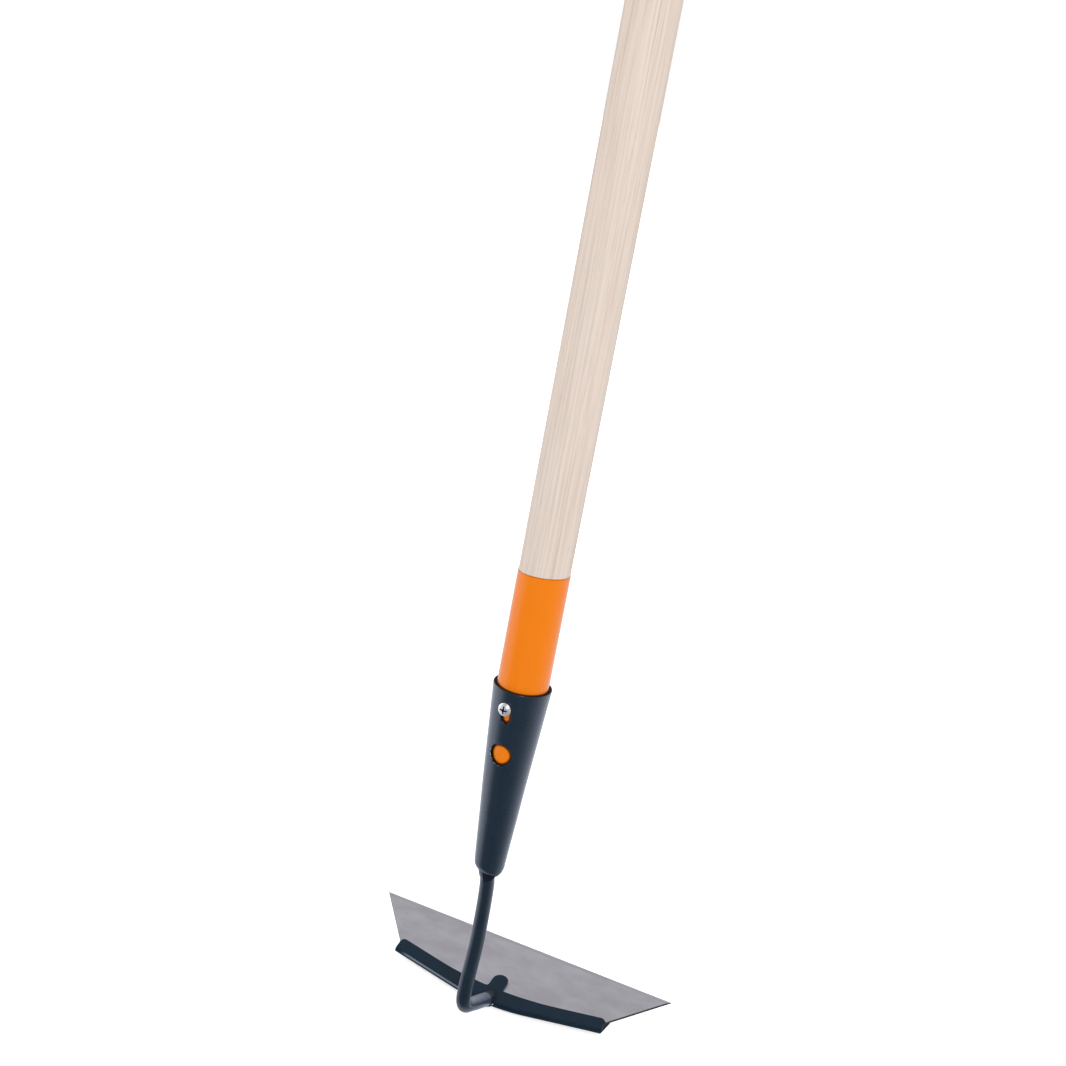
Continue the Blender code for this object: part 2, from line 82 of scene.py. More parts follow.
def turned(profile, sides):
    # a profile of (radius, height) in mm, spun round the Z axis
    bm = bmesh.new()
    verts = [bm.verts.new((radius * mm, 0.0, height * mm)) for radius, height in profile]
    edges = [bm.edges.new(pair) for pair in zip(verts, verts[1:])]
    bmesh.ops.spin(
        bm, geom=verts + edges, cent=(0, 0, 0), axis=(0, 0, 1), angle=math.tau, steps=sides, use_merge=True
    )
    bmesh.ops.remove_doubles(bm, verts=bm.verts, dist=mergeDistance)
    return bm


def turnBy(bm, angle, axis="Z"):
    bmesh.ops.rotate(bm, verts=bm.verts, cent=(0, 0, 0), matrix=Matrix.Rotation(angle, 3, axis))


def growBorder(bm, edges):
    # one more row of faces along open edges: returns its outer edges and its points
    grown = bmesh.ops.extrude_edge_only(bm, edges=edges)["geom"]
    points = [item for item in grown if isinstance(item, bmesh.types.BMVert)]
    lines = [item for item in grown if isinstance(item, bmesh.types.BMEdge)]
    return [line for line in lines if all(vert in points for vert in line.verts)], points


def closeUp(bm):
    # merges what touches and fills what is open
    bmesh.ops.remove_doubles(bm, verts=bm.verts, dist=mergeDistance)
    bmesh.ops.holes_fill(bm, edges=[edge for edge in bm.edges if edge.is_boundary], sides=0)


def roundEdges(bm, width, steps=3, sharperThan=50.0):
    # every edge that turns more than the angle gets a small round
    limit = math.radians(sharperThan)
    sharp = [e for e in bm.edges if len(e.link_faces) == 2 and e.calc_face_angle() > limit]
    bmesh.ops.bevel(
        bm, geom=sharp, offset=width * mm, offset_type="OFFSET", affect="EDGES",
        segments=steps, profile=0.5, clamp_overlap=True, material=-1,
    )


def addObject(name, data):
    added = bpy.data.objects.new(name, data)
    bpy.context.scene.collection.objects.link(added)
    return added


def addMesh(name, bm, materials=()):
    mesh = bpy.data.meshes.new(name)
    bm.to_mesh(mesh)
    bm.free()
    for material in materials:
        mesh.materials.append(material)
    return addObject(name, mesh)


def finishPiece(name, bm, materials, node, sharpAngle=40.0, shift=(0.0, 0.0, 0.0)):
    # gives the mesh its materials and its body, and hides the part that it stands for
    bmesh.ops.remove_doubles(bm, verts=bm.verts, dist=mergeDistance)
    bmesh.ops.recalc_face_normals(bm, faces=bm.faces)
    bmesh.ops.translate(bm, verts=bm.verts, vec=shift)
    piece = addMesh(name, bm, materials)
    piece.data.shade_smooth()
    piece.data.set_sharp_from_angle(angle=math.radians(sharpAngle))
    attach(piece, "root")
    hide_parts(node)
    print(name, "made with", len(piece.data.polygons), "faces")
    return piece


def evenNormals(piece):
    # flat faces stay flat beside their rounded edges
    weighted = piece.modifiers.new("even normals", "WEIGHTED_NORMAL")
    weighted.keep_sharp = True
    weighted.weight = 80


# small tools for materials

def makeNode(tree, kind, inputs=None, **settings):
    # inputs hold either a value or the socket that feeds it
    node = tree.nodes.new(kind)
    for name, value in settings.items():
        setattr(node, name, value)
    for name, value in (inputs or {}).items():
        if isinstance(value, bpy.types.NodeSocket):
            tree.links.new(value, node.inputs[name])
        else:
            node.inputs[name].default_value = value
    return node


def makeMath(tree, operation, first, second=0.0, clamp=False):
    node = makeNode(tree, "ShaderNodeMath", {0: first, 1: second}, operation=operation, use_clamp=clamp)
    return node.outputs[0]


def makeChain(tree, operation, *values):
    result = values[0]
    for value in values[1:]:
        result = makeMath(tree, operation, result, value)
    return result


def multiply(tree, *values):
    return makeChain(tree, "MULTIPLY", *values)


def largest(tree, *values):
    return makeChain(tree, "MAXIMUM", *values)


def makeVector(tree, operation, *vectors):
    # a length and a dot product are numbers, all else is a vector
    node = makeNode(tree, "ShaderNodeVectorMath", dict(enumerate(vectors)), operation=operation)
    return node.outputs["Value" if operation in ("LENGTH", "DOT_PRODUCT") else "Vector"]


def makeRange(tree, value, start, full, low=0.0, high=1.0, smooth=False):
    # low up to the start and high from the full place on
    return makeNode(
        tree, "ShaderNodeMapRange",
        {"Value": value, "From Min": start, "From Max": full, "To Min": low, "To Max": high},
        interpolation_type="SMOOTHSTEP" if smooth else "LINEAR",
    ).outputs["Result"]


def softStep(tree, value, start, full):
    # from 0 to 1, smooth, with the start and the full place in mm
    return makeRange(tree, value, start * mm, full * mm, smooth=True)


def makeMix(tree, factor, first, second, blend="MIX"):
    # a mix node's colours are its inputs 6 and 7 and its output 2
    inputs = {0: factor, 6: first, 7: second}
    return makeNode(tree, "ShaderNodeMix", inputs, data_type="RGBA", blend_type=blend).outputs[2]


def makeNoise(tree, vector, scale=1.0, detail=2.0, output="Fac"):
    inputs = {"Vector": vector, "Scale": scale, "Detail": detail}
    return makeNode(tree, "ShaderNodeTexNoise", inputs).outputs[output]


def makeBump(tree, height, distance):
    inputs = {"Height": height, "Distance": distance * mm, "Strength": 1.0}
    return makeNode(tree, "ShaderNodeBump", inputs).outputs["Normal"]


def objectCoords(tree):
    return makeNode(tree, "ShaderNodeTexCoord").outputs["Object"]


def stretched(tree, vector, scale, place=(0.0, 0.0, 0.0)):
    inputs = {"Vector": vector, "Scale": scale, "Location": place}
    return makeNode(tree, "ShaderNodeMapping", inputs).outputs["Vector"]


def splitVector(tree, vector):
    return makeNode(tree, "ShaderNodeSeparateXYZ", {"Vector": vector}).outputs


def joinVector(tree, *parts):
    return makeNode(tree, "ShaderNodeCombineXYZ", dict(enumerate(parts))).outputs["Vector"]


def makeGroup(name, inputs, outputs):
    # inputs are (name, kind, value), or without a value, and outputs are (name, kind)
    tree = bpy.data.node_groups.new(name, "ShaderNodeTree")
    for label, kind, *value in inputs:
        socket = tree.interface.new_socket(name=label, in_out="INPUT", socket_type="NodeSocket" + kind)
        if value:
            socket.default_value = value[0]
    for label, kind in outputs:
        tree.interface.new_socket(name=label, in_out="OUTPUT", socket_type="NodeSocket" + kind)
    return tree, tree.nodes.new("NodeGroupInput").outputs, tree.nodes.new("NodeGroupOutput").inputs


def shaderOf(material):
    return material.node_tree.nodes["Principled BSDF"]


def newMaterial(name, values):
    material = bpy.data.materials.new(name)
    material.use_nodes = True
    for label, value in values.items():
        shaderOf(material).inputs[label].default_value = value
    return material


def linkTo(material, sockets):
    for label, socket in sockets.items():
        material.node_tree.links.new(socket, shaderOf(material).inputs[label])


def layOver(material, mask, colour):
    # another colour over the finish wherever mask(tree) is 1
    tree = material.node_tree
    under = shaderOf(material).inputs["Base Color"].links[0].from_socket
    linkTo(material, {"Base Color": makeMix(tree, mask(tree), under, colour)})


def rgb(red, green, blue):
    # 0 to 255 as a screen shows it, turned to the linear values that shaders use
    linear = [((c / 255 + 0.055) / 1.055) ** 2.4 if c > 10 else c / 255 / 12.92 for c in (red, green, blue)]
    return (*linear, 1.0)


# the film group: faint patches and grains in a coat or a rolled skin, used by all coats and metals
filmTree, filmIn, filmOut = makeGroup(
    "film texture",
    [
        ("Vector", "Vector"),
        ("Color", "Color", (0.5, 0.5, 0.5, 1.0)),
        ("Tint", "Color", (0.5, 0.5, 0.5, 1.0)),
        ("Patch Scale", "Float", 60.0),
        ("Patch Amount", "Float", 0.2),
        ("Patch Contrast", "Float", 1.0),
        ("Grain Scale", "Float", 900.0),
        ("Grain Amount", "Float", 0.1),
        ("Roughness", "Float", 0.4),
        ("Roughness Spread", "Float", 0.06),
    ],
    [("Color", "Color"), ("Roughness", "Float"), ("Height", "Float")],
)
patches = makeNoise(filmTree, filmIn["Vector"], filmIn["Patch Scale"], detail=3.0)
grains = makeNoise(filmTree, filmIn["Vector"], filmIn["Grain Scale"])
centred = makeMath(filmTree, "SUBTRACT", patches, 0.5)
steep = multiply(filmTree, centred, filmIn["Patch Contrast"])
patchShare = multiply(filmTree, makeMath(filmTree, "ADD", steep, 0.5, clamp=True), filmIn["Patch Amount"])
grainShare = multiply(filmTree, grains, filmIn["Grain Amount"])
tintShare = makeMath(filmTree, "ADD", patchShare, grainShare, clamp=True)
spread = multiply(filmTree, centred, filmIn["Roughness Spread"])
filmRoughness = makeMath(filmTree, "ADD", filmIn["Roughness"], spread, clamp=True)
filmTree.links.new(makeMix(filmTree, tintShare, filmIn["Color"], filmIn["Tint"]), filmOut["Color"])
filmTree.links.new(filmRoughness, filmOut["Roughness"])
filmTree.links.new(grains, filmOut["Height"])


def makeFinish(name, finish):
    # the film group takes the values that it has sockets for, and the shader takes its own
    material = newMaterial(name, {})
    tree = material.node_tree
    coords = stretched(tree, objectCoords(tree), finish.get("Stretch", (1.0, 1.0, 1.0)))
    film = makeNode(tree, "ShaderNodeGroup", {"Vector": coords}, node_tree=filmTree)
    for label, value in finish.items():
        if label in film.inputs:
            film.inputs[label].default_value = value
        elif label in shaderOf(material).inputs:
            shaderOf(material).inputs[label].default_value = value
    linkTo(material, {
        "Base Color": film.outputs["Color"],
        "Roughness": film.outputs["Roughness"],
        "Normal": makeBump(tree, film.outputs["Height"], finish["Bump"]),
    })
    return material


def fromMouth(tree):
    # a place's X, Y and Z from the middle of the socket's mouth
    return splitVector(tree, makeVector(tree, "SUBTRACT", objectCoords(tree), atMouth))


def offsetFrom(tree, spot, aside, top, bottom):
    # across and up to a place in the front, from the nearest point of an upright line
    nearest = makeNode(tree, "ShaderNodeClamp", {"Value": spot["Z"], "Min": bottom * mm, "Max": top * mm})
    across = makeMath(tree, "SUBTRACT", spot["X"], aside * mm)
    return joinVector(tree, across, makeMath(tree, "SUBTRACT", spot["Z"], nearest.outputs["Result"]))


# the coats of the socket and the neck

powderCoat = {
    "Color": rgb(24, 41, 56),
    "Tint": rgb(32, 49, 66),
    "Patch Scale": 90.0,
    "Patch Amount": 0.6,
    "Patch Contrast": 1.8,
    "Grain Scale": 1500.0,
    "Grain Amount": 0.3,
    "Roughness": 0.28,
    "Roughness Spread": 0.08,
    "Bump": 0.012,
    "Specular Tint": (0.84, 0.88, 1.0, 1.0),
    "Specular IOR Level": 0.8,
    "Coat Weight": 0.4,
    "Coat Roughness": 0.12,
    "Sheen Weight": 0.2,
    "Sheen Roughness": 0.4,
    "Sheen Tint": (0.45, 0.62, 1.0, 1.0),
}
# the neck has the socket's coat, painted a little darker as shade
neckShadedCoat = powderCoat | {"Color": rgb(22, 38, 51), "Tint": rgb(30, 47, 63)}
powderMaterial = makeFinish("dark powder coat", powderCoat)
neckShadedMaterial = makeFinish("neck powder coat with painted shade", neckShadedCoat)

# the cut edges of the socket's mouth and openings, the end of its nose and the screw's recess are painted
# nearly black as shade
shadeCoat = {
    "Color": rgb(10, 11, 15),
    "Tint": rgb(22, 20, 24),
    "Patch Scale": 160.0,
    "Patch Amount": 0.6,
    "Patch Contrast": 2.0,
    "Grain Scale": 1800.0,
    "Grain Amount": 0.4,
    "Roughness": 0.6,
    "Roughness Spread": 0.1,
    "Bump": 0.02,
    "Specular IOR Level": 0.12,
}
shadeMaterial = makeFinish("painted shade on cut edges and in recesses", shadeCoat)

# painted highlights: pale marks on the socket's coat at the lower edges of the round hole and of the slot
rimGlints = {
    "colour": rgb(196, 202, 206),
    "places": (
        # aside, height, ring from, ring to, side across, side up
        (-0.85, -37.9, 5.9, 6.6, -0.75, -0.66),
        (-0.75, -16.0, 2.2, 2.8, -0.1, -0.99),
    ),
    "fade": 0.2,
    "sideFrom": (0.45, 0.8),
    "grain": 1100.0,
    "grainFrom": (0.5, 0.6),
    "front": (0.0, -1.0),
    "amount": 0.85,
}


def rimGlintMask(tree):
    spot = fromMouth(tree)
    rings = []
    for aside, height, inner, outer, across, up in rimGlints["places"]:
        offset = offsetFrom(tree, spot, aside, height, height)
        away = makeVector(tree, "LENGTH", offset)
        towards = makeVector(tree, "DOT_PRODUCT", makeVector(tree, "NORMALIZE", offset), (across, up, 0.0))
        fromInside = softStep(tree, away, inner - rimGlints["fade"], inner)
        fromOutside = softStep(tree, away, outer + rimGlints["fade"], outer)
        rings.append(multiply(tree, fromInside, fromOutside, makeRange(tree, towards, *rimGlints["sideFrom"])))
    grain = makeNoise(tree, objectCoords(tree), rimGlints["grain"], detail=1.0)
    broken = makeRange(tree, grain, *rimGlints["grainFrom"])
    front = softStep(tree, spot["Y"], *rimGlints["front"])
    return multiply(tree, largest(tree, *rings), broken, front, rimGlints["amount"])


# the pale highlights are painted over the socket's coat
layOver(powderMaterial, rimGlintMask, rimGlints["colour"])
print("coats ready")


# the socket: rolled sheet, drawn in at the nose, which the handle, the screw and the neck fit

socketSizes = {
    "mouthRadius": 16.3,
    "halfAngle": 3.95,
    "wall": 1.5,
    "length": 117.5,
    "columns": 64,
    "rowsToHole": 28,
    "inStepTo": 40.0,
    "rimRound": 0.3,
    "noseLength": 8.8,
    "noseEnd": 4.9,
    "noseSweep": 70.0,
    "noseRows": 12,
    # an opening's radius, the depths of its end centres, and half its columns and its rows in the sheet
    "slot": {"radius": 2.75, "centres": (10.05, 16.05), "block": (3, 4, 15)},
    "hole": {"radius": 6.5, "centres": (37.9, 37.9), "block": (6, 22, 34)},
    "drawnTo": (0.55, 1.0),
    "seamHalf": 0.6,
    "seamEnd": 101.5,
    "seamPower": 12,
    "frontTurn": -2.3,
    # depths below the mouth, and how far to the right the socket and the bar stand there
    "aside": (
        (55.0, 0.0), (90.0, 0.3), (117.0, 0.5), (123.0, 1.0), (158.0, -0.3), (205.0, -0.35), (216.0, 0.25),
        (240.0, 0.25),
    ),
    "noseLift": 3.2,
    "liftPower": 1.3,
    "liftFrom": 107.8,
    "liftSide": (-0.6, -0.8),
    # the faces that are cut edges: how deep they lie, and how far they face up or outwards
    "rimDepth": 0.5,
    "rimUp": 0.5,
    "rimOut": 0.3,
    "openingDepths": (5.0, 50.0),
    "openingOut": 0.4,
    "noseEndUp": -0.55,
}
taper = math.tan(math.radians(socketSizes["halfAngle"]))
coneLength = socketSizes["length"] - socketSizes["noseLength"]


def eased(share):
    return share * share * (3 - 2 * share)


def limited(share):
    return min(max(share, 0.0), 1.0)


def coneRadius(depth):
    return socketSizes["mouthRadius"] - taper * depth


def socketProfile(run):
    # radius and depth of the outer skin: a cone, then the nose in even steps of its sweep
    if run <= coneLength:
        return coneRadius(run), run
    sweep = math.radians(socketSizes["noseSweep"])
    angle = sweep * (run - coneLength) / socketSizes["noseLength"]
    drawnIn = (coneRadius(coneLength) - socketSizes["noseEnd"]) / (1 - math.cos(sweep))
    drawnOut = socketSizes["noseLength"] / math.sin(sweep)
    radius = coneRadius(coneLength) - drawnIn * (1 - math.cos(angle))
    return radius, coneLength + drawnOut * math.sin(angle)


def asideAt(depth):
    # the nose and the bar under it stand a little to the right, and the lower bar a little to the left
    places = socketSizes["aside"]
    for (start, first), (end, last) in zip(places, places[1:]):
        if start <= depth < end:
            return first + (last - first) * eased((depth - start) / (end - start))
    return 0.0


def liftAt(x, y, depth):
    # the nose is drawn in a little higher on its left side
    start, end = socketSizes["liftFrom"], socketSizes["length"]
    side = Vector((x, y)).normalized().dot(Vector(socketSizes["liftSide"]))
    towards = ((1.0 + side) / 2) ** socketSizes["liftPower"]
    return socketSizes["noseLift"] * limited((depth - start) / (end - start)) * towards


def socketRuns():
    # where the rows of the sheet lie: in step with the hole, then even down to the nose, then the nose
    sizes = socketSizes
    step = sizes["hole"]["centres"][0] / sizes["rowsToHole"]
    rows = round(coneLength / step)
    even = [coneLength * row / rows for row in range(rows)]
    cone = [run if run > sizes["inStepTo"] else row * step for row, run in enumerate(even)]
    noseStep = sizes["noseLength"] / sizes["noseRows"]
    return cone + [coneLength + noseStep * row for row in range(sizes["noseRows"] + 1)]


def onOutline(opening, x, depth):
    # the nearest place on an opening's outline, a circle drawn out between two centres
    first, last = opening["centres"]
    centre = min(max(depth, first), last)
    away = Vector((x, depth - centre)).normalized()
    return away.x * opening["radius"], centre + away.y * opening["radius"]


def cutOpening(bm, opening):
    # a block of faces goes, and its border is drawn in to the outline in two steps
    def spotOf(vert):
        return round(vert.co.x, 6), round(vert.co.y, 6)

    halfColumns, firstRow, lastRow = opening["block"]
    runs = socketRuns()
    halfTurn = (halfColumns + 0.5) * math.tau / socketSizes["columns"]
    inside = {
        face for face in bm.faces
        if all(abs(vert.co.x) < halfTurn for vert in face.verts)
        and runs[firstRow] < face.calc_center_median().y < runs[lastRow]
    }
    border = [e for e in bm.edges if sum(face in inside for face in e.link_faces) == 1]
    bmesh.ops.delete(bm, geom=list(inside), context="FACES_ONLY")
    starts = {}
    for share in socketSizes["drawnTo"]:
        border, moved = growBorder(bm, border)
        for vert in moved:
            start = starts.get(spotOf(vert), vert.co.xy)
            x, depth = onOutline(opening, math.sin(start.x) * coneRadius(start.y), start.y)
            target = Vector((math.asin(x / coneRadius(depth)), depth))
            vert.co.xy = start.lerp(target, share)
            starts[spotOf(vert)] = start
    loose = [vert for vert in bm.verts if not vert.link_faces]
    bmesh.ops.delete(bm, geom=loose, context="VERTS")


def isCutEdge(face):
    # the rim of the mouth, the walls of the openings and the end of the nose
    sizes = socketSizes
    middle = face.calc_center_median()
    depth = -middle.z / mm
    up = face.normal.z
    out = face.normal.dot(Vector((middle.x, middle.y, 0.0)).normalized())
    first, last = sizes["openingDepths"]
    onRim = depth < sizes["rimDepth"] and up > sizes["rimUp"] and out < sizes["rimOut"]
    inOpening = middle.y < 0.0 and first < depth < last and abs(out) < sizes["openingOut"]
    return onRim or inOpening or (up < sizes["noseEndUp"] and depth > coneLength)


def rollSocket():
    sizes = socketSizes
    runs = socketRuns()

    def flat(u, v):
        return (u - 0.5) * math.tau, runs[round(v * (len(runs) - 1))], 0.0

    bm = mouldedSheet(sizes["columns"], len(runs) - 1, flat)
    cutOpening(bm, sizes["slot"])
    cutOpening(bm, sizes["hole"])
    seamAngle = math.pi - 0.0001
    for vert in bm.verts:
        angle, run = vert.co.x, vert.co.y
        radius, depth = socketProfile(run)
        if abs(angle) > seamAngle:
            # the two edges of the sheet stand a slit apart, which closes before the nose
            left = max(0.0, 1.0 - (run / sizes["seamEnd"]) ** sizes["seamPower"])
            angle -= math.copysign(sizes["seamHalf"] * math.sqrt(left) / radius, angle)
        vert.co = Vector((math.sin(angle) * radius, -math.cos(angle) * radius, -depth)) * mm
    bmesh.ops.remove_doubles(bm, verts=bm.verts, dist=mergeDistance)
    bmesh.ops.recalc_face_normals(bm, faces=bm.faces)
    bmesh.ops.solidify(bm, geom=bm.faces[:], thickness=sizes["wall"] * mm)
    roundEdges(bm, sizes["rimRound"])
    bm.normal_update()
    # the cut edges get the painted shade
    for face in bm.faces:
        face.material_index = 1 if isCutEdge(face) else 0
    turnBy(bm, math.radians(sizes["frontTurn"]))
    for vert in bm.verts:
        depth = -vert.co.z / mm
        vert.co.z += liftAt(vert.co.x, vert.co.y, depth) * mm
        vert.co.x += asideAt(depth) * mm
    return bm


finishPiece(
    "rolled_socket", rollSocket(), [powderMaterial, shadeMaterial], "socket", shift=atMouth
)


# the handle: turned ash with its lower end dipped in paint

handleSizes = {
    "radius": 14.0,
    "length": 1400.0,
    "sides": 96,
    "topFlat": 6.0,
    "topRounding": 9.0,
    "roundingSteps": 10,
    "lowerRadius": 7.99,
    "lowerChamfer": 1.5,
    "taperStart": 2.9,
    "paintAbove": 66.2,
    "paintTilt": 1.2,
    "paintTiltTo": -40.0,
    "coat": 0.3,
    # how far under the dip line the coat has which share of its thickness
    "lip": ((0.0, 0.0), (0.1, 0.55), (0.28, 0.85), (0.6, 1.0)),
}
# the dip line is a slightly tilted plane above the socket's mouth
tiltTo = math.radians(handleSizes["paintTiltTo"])
dipSlope = handleSizes["paintTilt"] / handleSizes["radius"]
dipNormal = Vector((-dipSlope * math.cos(tiltTo), -dipSlope * math.sin(tiltTo), 1.0)).normalized()
dipPoint = Vector((0.0, 0.0, handleSizes["paintAbove"])) * mm + atMouth

dipPaint = {
    "Color": rgb(250, 134, 3),
    "Tint": rgb(244, 126, 2),
    "Patch Scale": 35.0,
    "Patch Amount": 0.5,
    "Grain Scale": 420.0,
    "Grain Amount": 0.25,
    "Roughness": 0.22,
    "Roughness Spread": 0.06,
    "Bump": 0.02,
    "Stretch": (1.0, 1.0, 0.4),
    "Specular IOR Level": 0.35,
    "Coat Weight": 0.3,
    "Coat Roughness": 0.08,
}
# painted shade in the paint along the socket's mouth and inside its openings, and a darker dip line, with
# each band from 0 to 1
shadeAndDipLine = {
    "colour": rgb(74, 34, 16),
    "mouthBand": (1.0, -0.1),
    "rimBand": (-4.0, -3.0),
    "belowBand": (0.0, -1.0),
    # aside, top and bottom of the openings' middle lines
    "hole": (-0.85, -38.35, -38.35),
    "holeBand": (4.3, 5.6),
    "slot": (-0.95, -10.5, -15.9),
    "slotBand": (1.0, 2.0),
    "dipBand": (-0.9, -0.2),
    "dipAmount": 0.45,
    "amount": 0.95,
}


def shadeAndDipLineMask(tree):
    # painted shade at the mouth and in the openings, and a darker dip line
    spot = fromMouth(tree)
    height = spot["Z"]
    atMouthEdge, onRimDepth = [softStep(tree, height, *shadeAndDipLine[name]) for name in ("mouthBand", "rimBand")]
    inside = softStep(tree, height, *shadeAndDipLine["belowBand"])
    for name in ("hole", "slot"):
        away = makeVector(tree, "LENGTH", offsetFrom(tree, spot, *shadeAndDipLine[name]))
        inside = multiply(tree, inside, softStep(tree, away, *shadeAndDipLine[name + "Band"]))
    atRim = multiply(tree, atMouthEdge, onRimDepth)
    atOpenings = multiply(tree, largest(tree, atRim, inside), shadeAndDipLine["amount"])
    # the paint's upper edge, on the tilted dip line, is a little darker
    fromDip = makeVector(tree, "SUBTRACT", objectCoords(tree), dipPoint)
    overDip = makeVector(tree, "DOT_PRODUCT", fromDip, dipNormal)
    atDip = multiply(tree, softStep(tree, overDip, *shadeAndDipLine["dipBand"]), shadeAndDipLine["dipAmount"])
    return largest(tree, atOpenings, atDip)


paintMaterial = makeFinish("orange dip paint", dipPaint)
layOver(paintMaterial, shadeAndDipLineMask, shadeAndDipLine["colour"])

# straight ash grain: yearly rings round a pith far outside the handle
ashWood = {
    "light": rgb(235, 220, 209),
    "ring": rgb(206, 187, 172),
    "blush": rgb(233, 211, 195),
    "pore": rgb(176, 150, 132),
    "specular": 0.35,
    "roughness": (0.46, 0.6),
    "bump": 0.03,
    "pith": (74.0, 30.0),
    "ringWidth": 2.1,
    "ringStrength": 0.7,
    # how dark a ring is at the shares of its width
    "ringLevels": ((0.0, 1.0), (0.34, 0.12), (0.8, 0.0), (1.0, 0.85)),
    "waver": 9.0,
    "waverScale": (34.0, 34.0, 2.2),
    # noises drawn out along the handle: scale, detail and the two levels that they are cut between
    "breaks": ((75.0, 75.0, 9.0), 2.0, (0.38, 0.62)),
    "streaks": ((950.0, 950.0, 18.0), 2.0, (0.42, 0.64)),
    "fibres": ((2600.0, 2600.0, 55.0), 2.0, (0.0, 1.0)),
    "pores": ((3400.0, 3400.0, 160.0), 1.0, (0.56, 0.68)),
    "blushes": ((60.0, 60.0, 3.0), 3.0, (0.4, 0.75)),
    "streakAmount": 0.38,
    "fibreAmount": 0.2,
    "poreAmount": 0.4,
    "blushAmount": 0.8,
}


def makeAsh():
    wood = ashWood
    material = newMaterial("ash wood", {"Specular IOR Level": wood["specular"]})
    tree = material.node_tree
    coords = objectCoords(tree)

    def woodNoise(name):
        scale, detail, levels = wood[name]
        return makeRange(tree, makeNoise(tree, stretched(tree, coords, scale), detail=detail), *levels)

    # the rings waver along the handle
    waver = makeNoise(tree, stretched(tree, coords, wood["waverScale"]), output="Color")
    waver = makeVector(tree, "SUBTRACT", waver, (0.5, 0.5, 0.5))
    waver = makeVector(tree, "MULTIPLY", waver, (wood["waver"] * mm,) * 3)
    pith = (-wood["pith"][0] * mm, -wood["pith"][1] * mm, 0.0)
    fromPith = stretched(tree, makeVector(tree, "ADD", coords, waver), (1.0, 1.0, 0.0), pith)
    ringCount = multiply(tree, makeVector(tree, "LENGTH", fromPith), 1.0 / (wood["ringWidth"] * mm))
    ringShape = makeNode(tree, "ShaderNodeValToRGB", {"Fac": makeMath(tree, "FRACT", ringCount)})
    stops = ringShape.color_ramp.elements
    stops.remove(stops[1])
    for place, level in wood["ringLevels"]:
        stop = stops[0] if place == 0.0 else stops.new(place)
        stop.color = (level, level, level, 1.0)
    ringMask = ringShape.outputs["Color"]
    # every ring has its own strength
    ringNumber = {"W": makeMath(tree, "FLOOR", ringCount)}
    chance = makeNode(tree, "ShaderNodeTexWhiteNoise", ringNumber, noise_dimensions="1D").outputs["Value"]

    fibres = woodNoise("fibres")
    fibreShare = multiply(tree, fibres, wood["fibreAmount"])
    ringShare = multiply(tree, ringMask, chance, wood["ringStrength"], woodNoise("breaks"))
    streakShare = multiply(tree, woodNoise("streaks"), wood["streakAmount"])
    grain = makeMath(tree, "ADD", makeMath(tree, "ADD", ringShare, streakShare), fibreShare, clamp=True)
    pores = multiply(tree, woodNoise("pores"), ringMask)
    blush = multiply(tree, woodNoise("blushes"), wood["blushAmount"])
    colour = makeMix(tree, blush, wood["light"], wood["blush"])
    colour = makeMix(tree, grain, colour, wood["ring"])
    colour = makeMix(tree, multiply(tree, pores, chance, wood["poreAmount"]), colour, wood["pore"])
    linkTo(material, {
        "Base Color": colour,
        "Roughness": makeRange(tree, fibres, 0.0, 1.0, *wood["roughness"]),
        "Normal": makeBump(tree, makeMath(tree, "SUBTRACT", fibreShare, pores), wood["bump"]),
    })
    return material


def turnHandle():
    sizes = handleSizes
    side = sizes["radius"] - sizes["topFlat"]
    quarter = [math.pi / 2 * step / sizes["roundingSteps"] for step in range(sizes["roundingSteps"] + 1)]
    chamfer, foot = sizes["lowerChamfer"], -sizes["length"]
    profile = [(0.0, 0.0)]
    profile += [
        (sizes["topFlat"] + side * math.sin(a), sizes["topRounding"] * (math.cos(a) - 1)) for a in quarter
    ]
    profile += [
        (sizes["radius"], mouthHeight / mm - sizes["taperStart"]),
        (sizes["lowerRadius"] + taper * chamfer, foot + chamfer),
        (sizes["lowerRadius"] - chamfer, foot),
        (0.0, foot),
    ]
    bm = turned(profile, sizes["sides"])

    # the coat swells to its thickness just below the dip line
    for below, _ in sizes["lip"]:
        bmesh.ops.bisect_plane(
            bm, geom=bm.verts[:] + bm.edges[:] + bm.faces[:],
            plane_co=dipPoint - dipNormal * below * mm, plane_no=dipNormal,
        )
    for face in bm.faces:
        face.material_index = 1 if (face.calc_center_median() - dipPoint).dot(dipNormal) < 0.0 else 0
    for vert in bm.verts:
        below = (dipPoint - vert.co).dot(dipNormal) / mm
        reached = [share for start, share in sizes["lip"] if below > start - close]
        flat = Vector((vert.co.x, vert.co.y, 0.0))
        if reached and flat.length > mm:
            vert.co += flat.normalized() * sizes["coat"] * reached[-1] * mm
    return bm


finishPiece("turned_handle", turnHandle(), [makeAsh(), paintMaterial], "handle")


# the fixing screw

zincPlate = {
    "Color": rgb(250, 252, 255),
    "Tint": rgb(226, 231, 240),
    "Patch Scale": 260.0,
    "Patch Amount": 0.7,
    "Grain Scale": 2400.0,
    "Grain Amount": 0.3,
    "Roughness": 0.38,
    "Roughness Spread": 0.12,
    "Bump": 0.01,
    "Metallic": 0.6,
}
screwSizes = {
    "depth": 10.0,
    "aside": 1.05,
    "headRadius": 3.75,
    "headHeight": 2.4,
    "headRim": 0.7,
    "edgeRound": 0.25,
    "gap": 0.3,
    "shankRadius": 1.7,
    "shankLength": 22.0,
    "point": 4.0,
    "sides": 64,
    "crownSteps": 10,
    "recessSpan": 4.8,
    "recessWidth": 0.85,
    "recessDepth": 1.7,
    "recessFloor": 0.8,
    "recessCone": (0.4, 1.2),
    "coneReach": 2.1,
    "coneSides": 24,
    # painted shade lies in the head above the first height, so far under the crown, within a share of the
    # radius
    "recessShade": (0.2, 0.15, 0.8),
}


